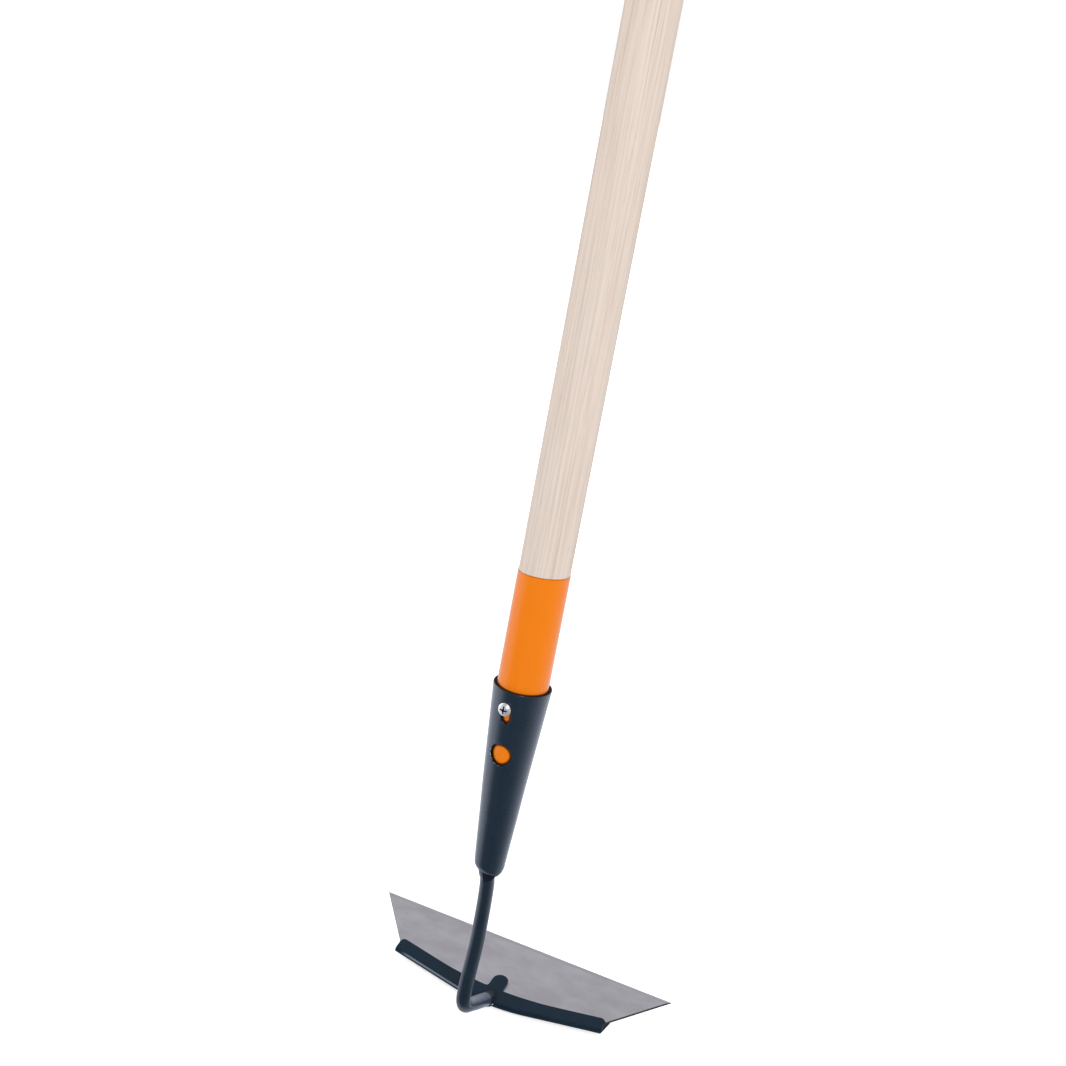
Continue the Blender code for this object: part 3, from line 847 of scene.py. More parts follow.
def makeScrewBlank():
    sizes = screwSizes
    dome = sizes["headHeight"] - sizes["headRim"]
    ball = (sizes["headRadius"] ** 2 + dome**2) / (2 * dome)
    spread = math.asin(sizes["headRadius"] / ball)
    turns = [spread * step / sizes["crownSteps"] for step in range(sizes["crownSteps"] + 1)]
    profile = [(ball * math.sin(a), sizes["headHeight"] - ball * (1 - math.cos(a))) for a in turns]
    profile += [
        (sizes["headRadius"], 0.0),
        (sizes["shankRadius"], 0.0),
        (sizes["shankRadius"], sizes["point"] - sizes["shankLength"]),
        (0.0, -sizes["shankLength"]),
    ]
    bm = turned(profile, sizes["sides"])
    bmesh.ops.recalc_face_normals(bm, faces=bm.faces)
    roundEdges(bm, sizes["edgeRound"], sharperThan=60.0)
    return bm


def makeRecessWedge(turn):
    # one wedge of the cross, narrower towards its floor
    sizes = screwSizes
    above = 1.0
    narrowing = (1.0 - sizes["recessFloor"]) / sizes["recessDepth"]
    bm = bmesh.new()
    bmesh.ops.create_cube(bm, size=1.0)
    for vert in bm.verts:
        level = -sizes["recessDepth"] if vert.co.z < 0.0 else above
        spread = 1.0 + narrowing * level
        vert.co.x *= sizes["recessSpan"] * spread * mm
        vert.co.y *= sizes["recessWidth"] * spread * mm
        vert.co.z = (sizes["headHeight"] + level) * mm
    turnBy(bm, turn)
    return bm


def makeRecessPoint():
    # the cone in the middle of the cross goes a little deeper than the wedges
    sizes = screwSizes
    low, high = sizes["recessCone"]
    bm = bmesh.new()
    bmesh.ops.create_cone(
        bm, cap_ends=True, segments=sizes["coneSides"], radius1=low * mm, radius2=high * mm,
        depth=sizes["coneReach"] * sizes["recessDepth"] * mm,
    )
    bmesh.ops.translate(bm, verts=bm.verts, vec=(0.0, 0.0, sizes["headHeight"] * mm))
    return bm


def cutAway(bm, cutterMesh):
    # the EXACT cut, with the mesh read back when it is done
    blank, cutter = addMesh("blank", bm), addMesh("cutter", cutterMesh)
    cut = blank.modifiers.new("cut", "BOOLEAN")
    cut.object = cutter
    cut.solver = "EXACT"
    cut.use_self = True
    bpy.context.view_layer.update()
    ready = bpy.data.meshes.new_from_object(blank.evaluated_get(bpy.context.evaluated_depsgraph_get()))
    result = bmesh.new()
    result.from_mesh(ready)
    for mesh in (blank.data, cutter.data, ready):
        bpy.data.meshes.remove(mesh)
    bmesh.ops.remove_doubles(result, verts=result.verts, dist=mergeDistance)
    return result


def placeScrew(bm):
    # the recess is painted dark as shade
    sizes = screwSizes
    dome = sizes["headHeight"] - sizes["headRim"]
    lowest, belowCrown, within = sizes["recessShade"]
    for face in bm.faces:
        middle = face.calc_center_median() / mm
        share = middle.xy.length / sizes["headRadius"]
        crown = sizes["headHeight"] - dome * share**2
        face.material_index = 1 if lowest < middle.z < crown - belowCrown and share < within else 0
    # out of the socket's front, a little beside the slot's middle
    seat = coneRadius(sizes["depth"] - sizes["headRadius"]) + sizes["gap"]
    turnBy(bm, math.pi / 2, "X")
    bmesh.ops.translate(bm, verts=bm.verts, vec=Vector((-sizes["aside"], -seat, -sizes["depth"])) * mm)
    turnBy(bm, math.radians(socketSizes["frontTurn"]))
    return bm


screw = makeScrewBlank()
for cutter in (makeRecessWedge(0.0), makeRecessWedge(math.pi / 2), makeRecessPoint()):
    screw = cutAway(screw, cutter)
finishPiece(
    "pan_head_screw", placeScrew(screw), [makeFinish("zinc plate", zincPlate), shadeMaterial],
    "fixing_screw", sharpAngle=35.0, shift=atMouth,
)


# the bed: a tilted plane, the blade's middle, that the blade and the rail are laid out on

bed = {
    "forward": 53.4,
    "belowMouth": 221.6,
    "tilt": 12.9,
}
bedOrigin = Vector((0.0, bed["forward"], -bed["belowMouth"])) * mm + atMouth
bedMatrix = Matrix.Translation(bedOrigin) @ Matrix.Rotation(math.radians(bed["tilt"]), 4, "X")


def onBed(tree):
    # how far a place lies to the right, towards the cutting edge and above the blade's middle
    offset = makeVector(tree, "SUBTRACT", objectCoords(tree), bedOrigin)
    return [makeVector(tree, "DOT_PRODUCT", offset, bedMatrix.col[axis].xyz) for axis in range(3)]


# the rail: a folded sheet whose fold and front border have unlike bends, with a tongue on the blade

# the rail has the frame's powder coat, painted darker as shade and with less shine
railShadedCoat = {
    "Color": rgb(15, 35, 49),
    "Tint": rgb(23, 43, 58),
    "Patch Scale": 70.0,
    "Patch Amount": 0.6,
    "Patch Contrast": 2.0,
    "Grain Scale": 1500.0,
    "Grain Amount": 0.25,
    "Roughness": 0.24,
    "Roughness Spread": 0.1,
    "Bump": 0.012,
    "Specular IOR Level": 0.18,
}
# a painted highlight: on the left wing the coat is painted pale along the lower side of the fold, with each
# band from 0 to 1
foldHighlight = {
    "colour": rgb(120, 130, 146),
    "low": (0.5, 0.85),
    "high": (1.65, 1.4),
    "left": (-66.0, -58.0),
    "right": (-8.0, -16.0),
    "amount": 0.9,
}
railSizes = {
    "bladeThickness": 1.0,
    "gap": 0.3,
    "sheet": 1.0,
    "wing": 12.3,
    "frontRadius": 190.0,
    "backRadius": 115.0,
    "depth": 12.3,
    "halfSpan": 69.2,
    "corner": 3.0,
    "squareRight": 0.4,
    "cornerSteps": 6,
    "wingSteps": 24,
    "flangeSteps": 4,
    "foldSteps": 12,
    "edgeRound": 0.3,
    "tongueWidth": 9.7,
    "tongueLength": 12.4,
    "tongueRoot": 2.0,
    "tongueColumns": 8,
    "rootSteps": 5,
    "sideSteps": 3,
    "tipTurns": (18.0, 36.0, 54.0, 72.0),
    # the slant of the right end: at the middle, its slope, and where the middle is
    "endSlant": (1.6, 0.22, 6.0),
    "endSlantFrom": 50.0,
    "endPower": 2,
    "foldSlant": 1.2,
    "lowerKeeps": 0.8,
    "lowerReach": 1.7,
    "reachPower": 8,
}
innerHalf = railSizes["bladeThickness"] / 2 + railSizes["gap"]
outerHalf = innerHalf + railSizes["sheet"]


def foldHighlightMask(tree):
    across, _, height = onBed(tree)
    bands = [(height, "low"), (height, "high"), (across, "left"), (across, "right")]
    return multiply(tree, foldHighlight["amount"], *[softStep(tree, value, *foldHighlight[name]) for value, name in bands])


def bentLine(x, radius):
    # an arc in the middle that runs on into two straight wings
    wing = math.radians(railSizes["wing"])
    bendHalf = radius * math.sin(wing)
    if abs(x) < bendHalf:
        return radius - math.sqrt(radius**2 - x**2)
    return radius * (1 - math.cos(wing)) + (abs(x) - bendHalf) * math.tan(wing)


def frontBorder(x, squareRight=False):
    past = max(0.0, abs(x) - (railSizes["halfSpan"] - railSizes["corner"]))
    if squareRight and x > 0.0:
        past *= railSizes["squareRight"]
    rounding = railSizes["corner"] - math.sqrt(max(railSizes["corner"] ** 2 - past**2, 0.0))
    return bentLine(x, railSizes["frontRadius"]) - rounding


def foldLine(x):
    return bentLine(x, railSizes["backRadius"]) + outerHalf - railSizes["depth"]


def foldSheet():
    sizes = railSizes
    half = sizes["tongueWidth"] / 2
    root = sizes["tongueRoot"]
    rootEdge = half + root
    straight = sizes["halfSpan"] - sizes["corner"]
    middle = [rootEdge * (2 * c / sizes["tongueColumns"] - 1) for c in range(sizes["tongueColumns"] + 1)]
    steps = sizes["wingSteps"]
    wing = [rootEdge + (straight - rootEdge) * s / steps for s in range(1, steps + 1)]
    turns = [math.pi / 2 * s / sizes["cornerSteps"] for s in range(1, sizes["cornerSteps"] + 1)]
    wing += [straight + sizes["corner"] * math.sin(a) for a in turns]
    stations = [-x for x in reversed(wing)] + middle + wing

    # the skin goes from the lower border round the fold to the upper border
    flange = sizes["flangeSteps"]
    fold = sizes["foldSteps"]
    rows = flange + fold + flange

    def skin(u, v):
        x = stations[round(u * (len(stations) - 1))]
        row = round(v * rows)
        front, back = frontBorder(x, squareRight=row < flange), foldLine(x)
        if row < flange:
            return Vector((x, front + (back - front) * row / flange, -outerHalf)) * mm
        if row > flange + fold:
            return Vector((x, back + (front - back) * (row - flange - fold) / flange, outerHalf)) * mm
        angle = math.pi * (1.5 - (row - flange) / fold)
        return Vector((x, back + outerHalf * math.cos(angle), outerHalf * math.sin(angle))) * mm

    bm = mouldedSheet(len(stations) - 1, rows, skin)

    # the tongue grows from the upper border: its rounded roots, its sides and its round tip
    tipCentre = sizes["tongueLength"] - half
    rootTurns = [math.pi / 2 * step / sizes["rootSteps"] for step in range(1, sizes["rootSteps"] + 1)]
    tipTurns = [math.radians(turn) for turn in sizes["tipTurns"]]
    shapes = [(rootEdge - root * math.sin(a), root * (1 - math.cos(a))) for a in rootTurns]
    sideSteps = sizes["sideSteps"]
    shapes += [(half, root + (tipCentre - root) * s / sideSteps) for s in range(1, sideSteps + 1)]
    shapes += [(half * math.cos(a), tipCentre + half * math.sin(a)) for a in tipTurns]

    def onUpperBorder(vert):
        x, y, z = vert.co / mm
        return z > innerHalf and abs(x) < rootEdge + close and abs(y - frontBorder(x)) < close

    edges = [e for e in bm.edges if e.is_boundary and all(onUpperBorder(vert) for vert in e.verts)]
    for number, (halfWidth, y) in enumerate(shapes, 1):
        edges, fresh = growBorder(bm, edges)
        widest = max(abs(vert.co.x) for vert in fresh)
        for vert in fresh:
            x = halfWidth * (vert.co.x / widest)
            if number == len(shapes):
                y = tipCentre + math.sqrt(half**2 - x**2)
            vert.co = Vector((x, y, outerHalf)) * mm
    bmesh.ops.recalc_face_normals(bm, faces=bm.faces)
    return bm


def makeRail():
    sizes = railSizes
    bm = foldSheet()
    # the skin's normals point outwards from the fold, so the sheet thickens towards the blade
    above = max(bm.faces, key=lambda face: face.calc_center_median().z)
    if above.normal.z < 0:
        bmesh.ops.reverse_faces(bm, faces=bm.faces)
    bmesh.ops.solidify(bm, geom=bm.faces[:], thickness=sizes["sheet"] * mm)
    roundEdges(bm, sizes["edgeRound"])
    # the right end is cut on a slant, longest on the lower flange
    start, slope, middle = sizes["endSlant"]
    front, back = bentLine(sizes["halfSpan"], sizes["frontRadius"]), foldLine(sizes["halfSpan"])
    for vert in bm.verts:
        x, y, z = vert.co / mm
        near = max((x - sizes["endSlantFrom"]) / (sizes["halfSpan"] - sizes["endSlantFrom"]), 0.0)
        lower = limited(0.5 - z / outerHalf / 2)
        atFold = limited((front - y) / (front - back))
        slant = (start + slope * (y - middle)) * lower
        slant += sizes["foldSlant"] * atFold * (1.0 - sizes["lowerKeeps"] * lower)
        vert.co.x += slant * near ** sizes["endPower"] * mm
        vert.co.y += sizes["lowerReach"] * (1.0 - atFold) * lower * near ** sizes["reachPower"] * mm
    bmesh.ops.transform(bm, matrix=bedMatrix, verts=bm.verts)
    return bm


railShadedMaterial = makeFinish("dull powder coat with painted shade", railShadedCoat)
# the painted highlight lies over the rail's coat
layOver(railShadedMaterial, foldHighlightMask, foldHighlight["colour"])
evenNormals(finishPiece("folded_rail", makeRail(), [railShadedMaterial], "back_rail"))


# the blade: bright rolled sheet, ground along the cutting edge, dull on its sheared sides, which are painted
# dark as shade

rolledSteel = {
    "Color": rgb(218, 214, 218),
    "Tint": rgb(199, 194, 198),
    "Patch Scale": 105.0,
    "Patch Amount": 0.75,
    "Patch Contrast": 3.0,
    "Grain Scale": 800.0,
    "Grain Amount": 0.3,
    "Roughness": 0.4,
    "Roughness Spread": 0.16,
    "Bump": 0.01,
    "Stretch": (0.6, 1.0, 1.0),
    "Metallic": 1.0,
}
groundSteel = {
    "Color": rgb(218, 214, 215),
    "Tint": rgb(188, 184, 185),
    "Patch Scale": 60.0,
    "Patch Amount": 0.5,
    "Patch Contrast": 2.0,
    "Grain Scale": 2600.0,
    "Grain Amount": 0.8,
    "Roughness": 0.34,
    "Roughness Spread": 0.1,
    "Bump": 0.02,
    "Stretch": (1.0, 0.08, 0.3),
    "Metallic": 1.0,
}
# the sheared sides are painted nearly black as shade
shadedSideSteel = {
    "Color": rgb(20, 15, 18),
    "Tint": rgb(32, 26, 30),
    "Patch Scale": 120.0,
    "Patch Amount": 0.8,
    "Patch Contrast": 2.0,
    "Grain Scale": 2200.0,
    "Grain Amount": 0.5,
    "Roughness": 0.55,
    "Roughness Spread": 0.1,
    "Bump": 0.03,
    "Stretch": (1.0, 1.0, 0.2),
    "Specular IOR Level": 0.15,
}
# painted shade: a dark band runs along the right side of the plate
sideShade = {
    "colour": rgb(58, 50, 56),
    "band": (0.75, 0.25),
    "amount": 0.9,
}
bladeSizes = {
    "width": 197.4,
    "reach": 45.2,
    "thickness": railSizes["bladeThickness"],
    "splay": 38.1,
    "pastRail": (1.4, 2.9),
    "backHalf": 68.4,
    "backSteps": 48,
    "corner": 1.2,
    "cornerSteps": 6,
    "groundWidth": 3.0,
    "land": 0.2,
    "edgeRound": 0.12,
    # how far a face has to face out of the grinding plane, forwards, or up, for its finish
    "groundOut": 0.999,
    "landForward": 0.7,
    "shearedUp": 0.9,
}


def sideShadeMask(tree):
    across, forward, _ = onBed(tree)
    splay = math.radians(bladeSizes["splay"])
    inX = makeMath(tree, "SUBTRACT", bladeSizes["width"] / 2 * mm, across)
    inY = makeMath(tree, "SUBTRACT", bladeSizes["reach"] * mm, forward)
    inside = makeMath(
        tree, "SUBTRACT", multiply(tree, inX, math.cos(splay)), multiply(tree, inY, math.sin(splay))
    )
    return multiply(tree, softStep(tree, inside, *sideShade["band"]), sideShade["amount"])


def makeBlade():
    sizes = bladeSizes
    half, reach = sizes["width"] / 2, sizes["reach"]
    leftSide, rightSide = [railSizes["halfSpan"] + past for past in sizes["pastRail"]]
    splay = math.tan(math.radians(sizes["splay"]))
    backHalf = sizes["backHalf"]
    back = [backHalf * (2 * step / sizes["backSteps"] - 1) for step in range(sizes["backSteps"] + 1)]
    outline = [(rightSide, reach - (half - rightSide) / splay), (half, reach)]
    outline += [(-half, reach), (-leftSide, reach - (half - leftSide) / splay)]
    outline += [(x, foldLine(x)) for x in back]
    bm = bmesh.new()
    low = -sizes["thickness"] / 2
    face = bm.faces.new([bm.verts.new(Vector((x, y, low)) * mm) for x, y in outline])
    raised = bmesh.ops.extrude_face_region(bm, geom=[face])["geom"]
    tops = [item for item in raised if isinstance(item, bmesh.types.BMVert)]
    bmesh.ops.translate(bm, verts=tops, vec=(0.0, 0.0, sizes["thickness"] * mm))

    def atBackCorner(vert):
        x, y, _ = vert.co / mm
        return (Vector((abs(x), y)) - Vector((backHalf, foldLine(backHalf)))).length < close

    corners = [e for e in bm.edges if all(atBackCorner(vert) for vert in e.verts)]
    bmesh.ops.bevel(
        bm, geom=corners, offset=sizes["corner"] * mm, affect="EDGES", segments=sizes["cornerSteps"],
        profile=0.5, material=-1,
    )
    # the grinding wheel takes the upper side down to a thin land at the edge
    drop = sizes["thickness"] - sizes["land"]
    slope = math.atan2(drop, sizes["groundWidth"])
    onWheel = Vector((0.0, reach, sizes["thickness"] / 2 - drop)) * mm
    outward = Vector((0.0, math.sin(slope), math.cos(slope)))
    bmesh.ops.bisect_plane(
        bm, geom=bm.verts[:] + bm.edges[:] + bm.faces[:], plane_co=onWheel, plane_no=outward, clear_outer=True
    )
    bmesh.ops.recalc_face_normals(bm, faces=bm.faces)
    closeUp(bm)
    bmesh.ops.recalc_face_normals(bm, faces=bm.faces)
    roundEdges(bm, sizes["edgeRound"], steps=2, sharperThan=60.0)
    bm.normal_update()
    # the ground faces get the ground finish, and the sheared sides the painted shade
    for face in bm.faces:
        if face.normal.dot(outward) > sizes["groundOut"] or face.normal.y > sizes["landForward"]:
            face.material_index = 1
        elif abs(face.normal.z) < sizes["shearedUp"]:
            face.material_index = 2
    bmesh.ops.transform(bm, matrix=bedMatrix, verts=bm.verts)
    return bm


bladeMaterials = [
    makeFinish("rolled steel", rolledSteel),
    makeFinish("ground steel", groundSteel),
    makeFinish("sheared steel with painted shade", shadedSideSteel),
]
# the painted shade lies over the rolled and the ground finish
for material in bladeMaterials[:2]:
    layOver(material, sideShadeMask, sideShade["colour"])
evenNormals(finishPiece("ground_blade", makeBlade(), bladeMaterials, "blade", sharpAngle=30.0))


# the neck: a bar along a bezier path that bows, turns at the elbow and lies on the rail

neckSizes = {
    "radius": 4.2,
    "inSocket": 16.0,
    "lean": 7.0,
    "bow": (6.4, 160.0),
    "elbowForward": 1.7,
    "elbowRadius": 12.0,
    "legSlope": 20.8,
    "legAboveFold": 3.5,
    "shadedEnd": 3.8,
    "around": 48,
    "stepsPerSpan": 20,
    "legSteps": 12,
}


def pathDirection(angle):
    # straight down at 0, towards the user at 90
    return Vector((0.0, math.sin(math.radians(angle)), -math.cos(math.radians(angle))))


# the foot of the leg, on the bed and from the socket's mouth, and the leg's two directions on the bed
footOnBed = Vector((0.0, -railSizes["depth"], neckSizes["legAboveFold"]))
legFoot = bedMatrix @ (footOnBed * mm) - atMouth
legDirection = pathDirection(90.0 - neckSizes["legSlope"])
legSlant = math.radians(neckSizes["legSlope"] + bed["tilt"])
alongLeg = Vector((0.0, math.cos(legSlant), -math.sin(legSlant)))
acrossLeg = Vector((0.0, math.sin(legSlant), math.cos(legSlant)))


def neckPath():
    # points in metres from the socket's mouth
    sizes = neckSizes
    down = pathDirection(0.0)
    bend = math.radians(90.0 - sizes["legSlope"])
    crossing = legFoot - legDirection * ((legFoot.y - sizes["elbowForward"] * mm) / legDirection.y)
    tangent = sizes["elbowRadius"] * mm * math.tan(bend / 2)
    pull = sizes["elbowRadius"] * mm * 4 / 3 * math.tan(bend / 4)
    top = Vector((0.0, 0.0, sizes["inSocket"] - socketSizes["length"])) * mm
    nose = Vector((0.0, 0.0, -socketSizes["length"])) * mm
    bow = Vector((0.0, sizes["bow"][0], -sizes["bow"][1])) * mm
    elbowStart = crossing - down * tangent
    elbowEnd = crossing + legDirection * tangent
    upper = (nose.z - bow.z) / 3
    lower = (bow.z - elbowStart.z) / 3
    inside = sizes["inSocket"] * mm / 3
    knots = [
        # place, direction, handle behind, handle ahead
        (top, down, 0.0, inside),
        (nose, pathDirection(sizes["lean"]), inside, upper),
        (bow, down, upper, lower),
        (elbowStart, down, lower, pull),
        (elbowEnd, legDirection, pull, 0.0),
    ]
    points = []
    for (start, leaving, _, ahead), (end, arriving, behind, _) in zip(knots, knots[1:]):
        span = interpolate_bezier(
            start, start + leaving * ahead, end - arriving * behind, end, sizes["stepsPerSpan"] + 1
        )
        points += span[1:] if points else span
    shares = [(step + 1) / sizes["legSteps"] for step in range(sizes["legSteps"])]
    return points + [points[-1].lerp(legFoot, share) for share in shares]


def meetRail(place, direction):
    # where a line on the bed, in mm, comes down on the outside of the folded sheet
    fold = foldLine(0.0)
    onFlange = place + direction * ((outerHalf - place.z) / direction.z)
    if onFlange.y > fold:
        return onFlange
    behind = place + direction * ((fold - outerHalf - place.y) / direction.y)
    if behind.z < 0.0:
        return behind
    flat = Vector((0.0, place.y - fold, place.z))
    halfB = flat.dot(direction)
    return place - direction * (halfB + math.sqrt(halfB**2 - flat.length_squared + outerHalf**2))


def atLegEnd(angle, radius):
    # the place on the rail under a point round the leg
    around = Vector((math.cos(angle), 0.0, 0.0)) + acrossLeg * math.sin(angle)
    return meetRail(footOnBed + around * radius, alongLeg)


def bendNeck():
    radius = neckSizes["radius"]
    points = neckPath()
    count = len(points) - 1

    def skin(u, v):
        index = round(v * count)
        angle = u * math.tau
        if index == count:
            return bedMatrix @ (atLegEnd(angle, radius) * mm)
        ahead = (points[index + 1] - points[max(index - 1, 0)]).normalized()
        across = Vector((1.0, 0.0, 0.0)).cross(ahead) * -1.0
        out = Vector((math.cos(angle), 0.0, 0.0)) + across * -math.sin(angle)
        aside = Vector((asideAt(-points[index].z / mm), 0.0, 0.0))
        return points[index] + (out * radius + aside) * mm + atMouth

    bm = mouldedSheet(neckSizes["around"], count, skin)
    closeUp(bm)
    # the bar's end takes the rail's coat, painted darker as shade, so that its sheen fades towards the weld
    for face in bm.faces:
        ahead = (face.calc_center_median() - legFoot - atMouth).dot(legDirection)
        face.material_index = 1 if ahead > -neckSizes["shadedEnd"] * mm else 0
    return bm


finishPiece("bent_neck", bendNeck(), [neckShadedMaterial, railShadedMaterial], "neck_rod", sharpAngle=60.0)


# the two weld beads, laid in overlapping pools, painted dark as shade under the nose's right side and round
# the leg

# the welds' painted shade is nearly black
weldShadeCoat = shadeCoat | {"Color": rgb(13, 21, 34), "Tint": rgb(24, 32, 47), "Specular IOR Level": 0.15}
# a painted highlight: a pale spot at one place on the right of the rail's weld, with the place measured on
# the bed
weldGlint = {
    "colour": rgb(226, 229, 234),
    "place": (4.8, -12.2, 1.0),
    "half": (1.7, 0.8, 0.75),
    "band": (1.0, 0.8),
}
weldSizes = {
    "sectionSteps": 8,
    "stations": 160,
    "sunk": 0.5,
    "poolLength": 1.5,
    "poolHeight": 0.05,
    # under the nose
    "offBar": 0.9,
    "onNose": 1.0,
    "onNeck": 2.4,
    "from": 188.0,
    "to": 345.0,
    "darkFrom": 262.0,
    "endSize": 0.4,
    "endPower": 0.6,
    "swell": 0.35,
    # round the leg
    "onLeg": 2.6,
    "onRail": 0.85,
    "hollow": 0.12,
}


def weldGlintMask(tree):
    parts = [
        makeMath(tree, "DIVIDE", makeMath(tree, "SUBTRACT", value, place * mm), half * mm)
        for value, place, half in zip(onBed(tree), weldGlint["place"], weldGlint["half"])
    ]
    away = makeVector(tree, "LENGTH", joinVector(tree, *parts))
    return makeRange(tree, away, *weldGlint["band"], smooth=True)


def beadPlace(u, corner, first, second, height):
    # round the bead's section: the sunk corner, then its face from the first toe to the second
    steps = weldSizes["sectionSteps"]
    index = round(u * (steps + 2))
    if index in (0, steps + 2):
        return corner
    share = (index - 1) / steps
    outward = (first.lerp(second, 0.5) - corner).normalized()
    return first.lerp(second, share) + outward * math.sin(math.pi * share) * height


def poolAt(turns):
    return abs(math.sin(math.pi * turns)) * weldSizes["poolHeight"]


def upright(height):
    return Vector((0.0, 0.0, height))


def noseDepth(radius):
    # how deep the nose's outer skin has this radius, looked for in small steps from its end
    step = 0.02
    run = coneLength + socketSizes["noseLength"]
    while socketProfile(run)[0] < radius:
        run -= step
    return socketProfile(run)[1]


def weldSocket():
    sizes = weldSizes
    barRadius = neckSizes["radius"]
    length = socketSizes["length"]
    lean = pathDirection(neckSizes["lean"])
    first, last = math.radians(sizes["from"]), math.radians(sizes["to"])
    pools = (last - first) * barRadius / sizes["poolLength"]

    def skin(u, v):
        turn = first + (last - first) * v
        size = sizes["endSize"] + (1 - sizes["endSize"]) * math.sin(math.pi * v) ** sizes["endPower"]
        outward = Vector((math.cos(turn), math.sin(turn), 0.0))
        lift = liftAt(outward.x, outward.y, length)
        corner = outward * (barRadius - sizes["sunk"]) + upright(lift + sizes["sunk"] - length)
        reach = barRadius + sizes["offBar"] + sizes["onNose"] * size
        depth = noseDepth(reach)
        onNose = outward * reach + upright(liftAt(outward.x, outward.y, depth) - depth)
        onNeck = outward * barRadius + upright(-length) + lean * sizes["onNeck"] * size
        place = beadPlace(u, corner, onNose, onNeck, (poolAt(v * pools) + sizes["swell"]) * size)
        return (place + Vector((asideAt(-place.z), 0.0, 0.0))) * mm + atMouth

    bm = mouldedSheet(sizes["sectionSteps"] + 2, sizes["stations"], skin)
    closeUp(bm)
    # the right side of the nose's bead is painted dark as shade
    for face in bm.faces:
        middle = face.calc_center_median()
        turn = math.degrees(math.atan2(middle.y, middle.x - asideAt(length) * mm)) % 360.0
        face.material_index = 1 if turn > sizes["darkFrom"] else 0
    return bm


def weldLeg():
    sizes = weldSizes
    radius = neckSizes["radius"]
    pools = round(math.tau * radius / sizes["poolLength"])

    def skin(u, v):
        angle = v * math.tau
        corner = atLegEnd(angle, radius - sizes["sunk"]) + alongLeg * sizes["sunk"]
        onLeg = atLegEnd(angle, radius) - alongLeg * sizes["onLeg"]
        onRail = atLegEnd(angle, radius + sizes["onRail"])
        return bedMatrix @ (beadPlace(u, corner, onLeg, onRail, poolAt(v * pools) - sizes["hollow"]) * mm)

    return mouldedSheet(sizes["sectionSteps"] + 2, sizes["stations"], skin)


weldShadeMaterial = makeFinish("painted shade on the welds", weldShadeCoat)
# the painted highlight lies over the welds' painted shade
layOver(weldShadeMaterial, weldGlintMask, weldGlint["colour"])
finishPiece(
    "nose_weld", weldSocket(), [neckShadedMaterial, weldShadeMaterial], "socket_weld", sharpAngle=60.0
)
finishPiece("leg_weld", weldLeg(), [weldShadeMaterial], "rail_weld", sharpAngle=60.0)


# the studio: pale floor, white surroundings, soft boxes

studio = {
    "floorHalf": 6000.0,
    "floorColour": rgb(238, 238, 238),
    "floorMiddle": (0.0, -5.0),
    "nearGlow": 0.64,
    # metres from the handle's line, between which the shadow round the hoe fades
    "shadowReach": (0.35, 0.95),
    "skyLight": 0.63,
    "roomTint": (0.92, 0.94, 1.0, 1.0),
    # the patch of floor that mirrors darker: left, right and back edge, fade, and the share that is kept
    "railPatch": (12.0, 75.0, 40.0, 12.0, 0.35),
    # metres from the handle's line, between which the mirrored room rises from this level to full
    "nearBand": (0.04, 0.22),
    "nearLevel": 0.55,
    "lamps": (
        # name, place in metres, watts, width, height
        ("key soft box", (1.2, -2.25, 0.5), 35.0, 1.0, 1.0),
        ("left soft box", (-2.3, 0.1, -0.6), 12.0, 0.9, 1.8),
        ("right soft box", (2.0, 1.2, -0.6), 6.5, 0.9, 1.8),
    ),
    # where the lamps point, in metres
    "aim": (0.0, 0.0, -1.3),
}
# how bright the room is in a mirror: dark round one direction, and dimmer overhead
room = {
    "Dark Side": (0.34, -0.94, 0.0),
    "Left Start": 0.63,
    "Left End": -0.1,
    "Right Start": 1.05,
    "Right End": -0.8,
    "Dark Level": 0.05,
    "Top Level": 0.6,
    "sideBand": (-0.3, 0.3),
    "topBand": (0.1, 0.6),
}
levels = ("Left Start", "Left End", "Right Start", "Right End", "Dark Level", "Top Level")
roomTree, roomIn, roomOut = makeGroup(
    "room brightness",
    [("Direction", "Vector"), ("Dark Side", "Vector", room["Dark Side"])]
    + [(label, "Float", room[label]) for label in levels],
    [("Level", "Float")],
)
levelled = makeVector(roomTree, "MULTIPLY", roomIn["Direction"], (1.0, 1.0, 0.0))
heading = makeVector(roomTree, "NORMALIZE", levelled)
towards = makeVector(roomTree, "DOT_PRODUCT", heading, roomIn["Dark Side"])
leftness = splitVector(roomTree, makeVector(roomTree, "CROSS_PRODUCT", heading, roomIn["Dark Side"]))["Z"]
# where the dark side starts and ends goes over smoothly from the right side of the room to the left
darkStart, darkEnd = [
    makeRange(
        roomTree, leftness, *room["sideBand"], roomIn["Right " + end], roomIn["Left " + end], smooth=True
    )
    for end in ("Start", "End")
]
sideLevel = makeRange(roomTree, towards, darkStart, darkEnd, roomIn["Dark Level"], 1.0, smooth=True)
height = splitVector(roomTree, makeVector(roomTree, "NORMALIZE", roomIn["Direction"]))["Z"]
topLevel = makeRange(roomTree, height, *room["topBand"], 1.0, roomIn["Top Level"], smooth=True)
roomTree.links.new(multiply(roomTree, sideLevel, topLevel), roomOut["Level"])


def roomLevel(tree, direction):
    return makeNode(tree, "ShaderNodeGroup", {"Direction": direction}, node_tree=roomTree).outputs["Level"]


def glow(tree, path, level):
    # white to the camera and tinted in mirrors, at this level
    colour = makeMix(tree, path["Is Glossy Ray"], white, studio["roomTint"])
    return makeMix(tree, 1.0, colour, level, blend="MULTIPLY")


def isSeen(tree, path):
    return largest(tree, path["Is Camera Ray"], path["Is Transmission Ray"])


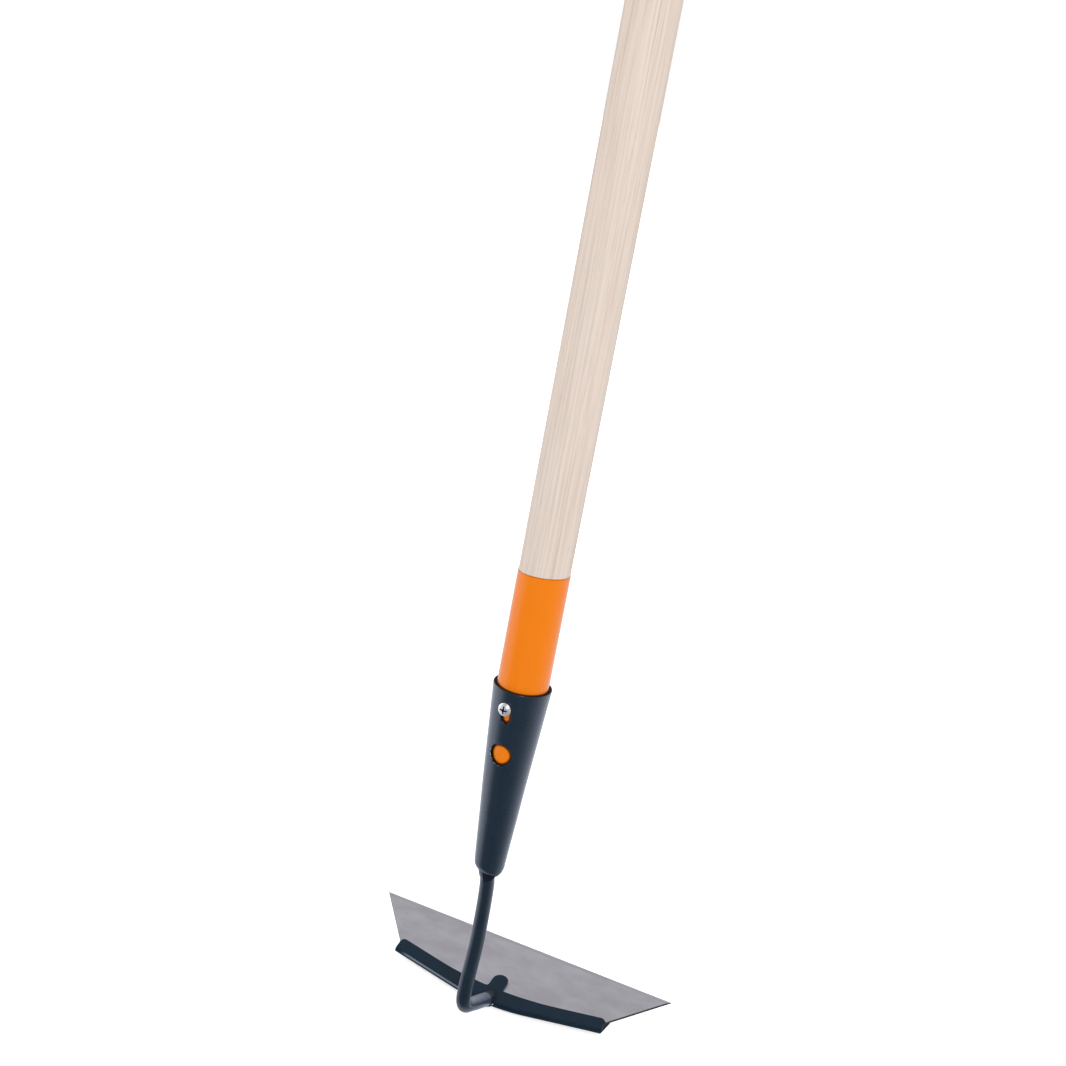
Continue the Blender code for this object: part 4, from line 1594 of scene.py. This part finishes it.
def floorMaterial():
    material = newMaterial("floor", {"Roughness": 1.0, "Specular IOR Level": 0.0, "Emission Strength": 1.0})
    tree = material.node_tree
    path = makeNode(tree, "ShaderNodeLightPath").outputs
    flat = makeVector(tree, "MULTIPLY", objectCoords(tree), (1.0, 1.0, 0.0))
    reach = makeVector(tree, "LENGTH", flat)
    shadow = makeRange(tree, reach, *studio["shadowReach"], studio["nearGlow"], 1.0, smooth=True)
    # in mirrors the floor is the room, darker close to the blade and under the right wing
    left, right, back, fade, share = studio["railPatch"]
    spot = splitVector(tree, flat)
    edges = [(spot["X"], left, fade), (spot["X"], right, -fade), (spot["Y"], back, -fade)]
    patch = multiply(tree, *[softStep(tree, value, edge - f / 2, edge + f / 2) for value, edge, f in edges])
    kept = makeRange(tree, patch, 0.0, 1.0, 1.0, share)
    near = makeRange(tree, reach, *studio["nearBand"], studio["nearLevel"], 1.0)
    middle = [-length * mm for length in studio["floorMiddle"]]
    fromMiddle = stretched(tree, flat, (1.0, 1.0, 1.0), (*middle, 0.0))
    mirrored = multiply(tree, path["Is Glossy Ray"], roomLevel(tree, fromMiddle), kept, near)
    seen = multiply(tree, isSeen(tree, path), shadow)
    linkTo(material, {
        "Base Color": makeMix(tree, path["Is Glossy Ray"], studio["floorColour"], black),
        "Emission Color": glow(tree, path, makeMath(tree, "ADD", seen, mirrored)),
    })
    return material


def layFloor():
    bm = bmesh.new()
    bmesh.ops.create_grid(bm, x_segments=1, y_segments=1, size=studio["floorHalf"] * mm)
    bmesh.ops.translate(bm, verts=bm.verts, vec=(0.0, 0.0, cadBox[0].z))
    floor = addMesh("floor", bm, [floorMaterial()])


def hangLamps():
    aim = Vector(studio["aim"])
    for name, place, watts, width, height in studio["lamps"]:
        light = bpy.data.lights.new(name, "AREA")
        light.shape = "RECTANGLE"
        light.size = width
        light.size_y = height
        light.energy = watts
        lamp = addObject(name, light)
        lamp.location = place
        lamp.rotation_euler = (aim - Vector(place)).to_track_quat("-Z", "Y").to_euler()


def paintSky():
    world = bpy.data.worlds.new("white room")
    world.use_nodes = True
    tree = world.node_tree
    background = tree.nodes["Background"]
    path = makeNode(tree, "ShaderNodeLightPath").outputs
    direction = makeNode(tree, "ShaderNodeTexCoord").outputs["Generated"]
    soft = makeRange(tree, isSeen(tree, path), 0.0, 1.0, studio["skyLight"], 1.0)
    level = makeRange(tree, path["Is Glossy Ray"], 0.0, 1.0, soft, roomLevel(tree, direction))
    tree.links.new(glow(tree, path, level), background.inputs["Color"])
    background.inputs["Strength"].default_value = 1.0
    bpy.context.scene.world = world


layFloor()
hangLamps()
paintSky()
print("studio lit")


# the camera, at the photograph's viewing angle

cameraView = {
    "place": (308.994, -858.792, -928.536),
    "turn": (71.7848, -10.1366, 23.7244),
    "lens": 61.184,
    "sensor": 36.0,
    "clipEnd": 100000.0,
}
cameraData = bpy.data.cameras.new("camera")
cameraData.sensor_width = cameraView["sensor"]
cameraData.lens = cameraView["lens"]
cameraData.clip_end = cameraView["clipEnd"] * mm
camera = addObject("camera", cameraData)
camera.location = Vector(cameraView["place"]) * mm
camera.rotation_euler = [math.radians(angle) for angle in cameraView["turn"]]
bpy.context.scene.camera = camera
bpy.context.scene.view_settings.view_transform = "Standard"
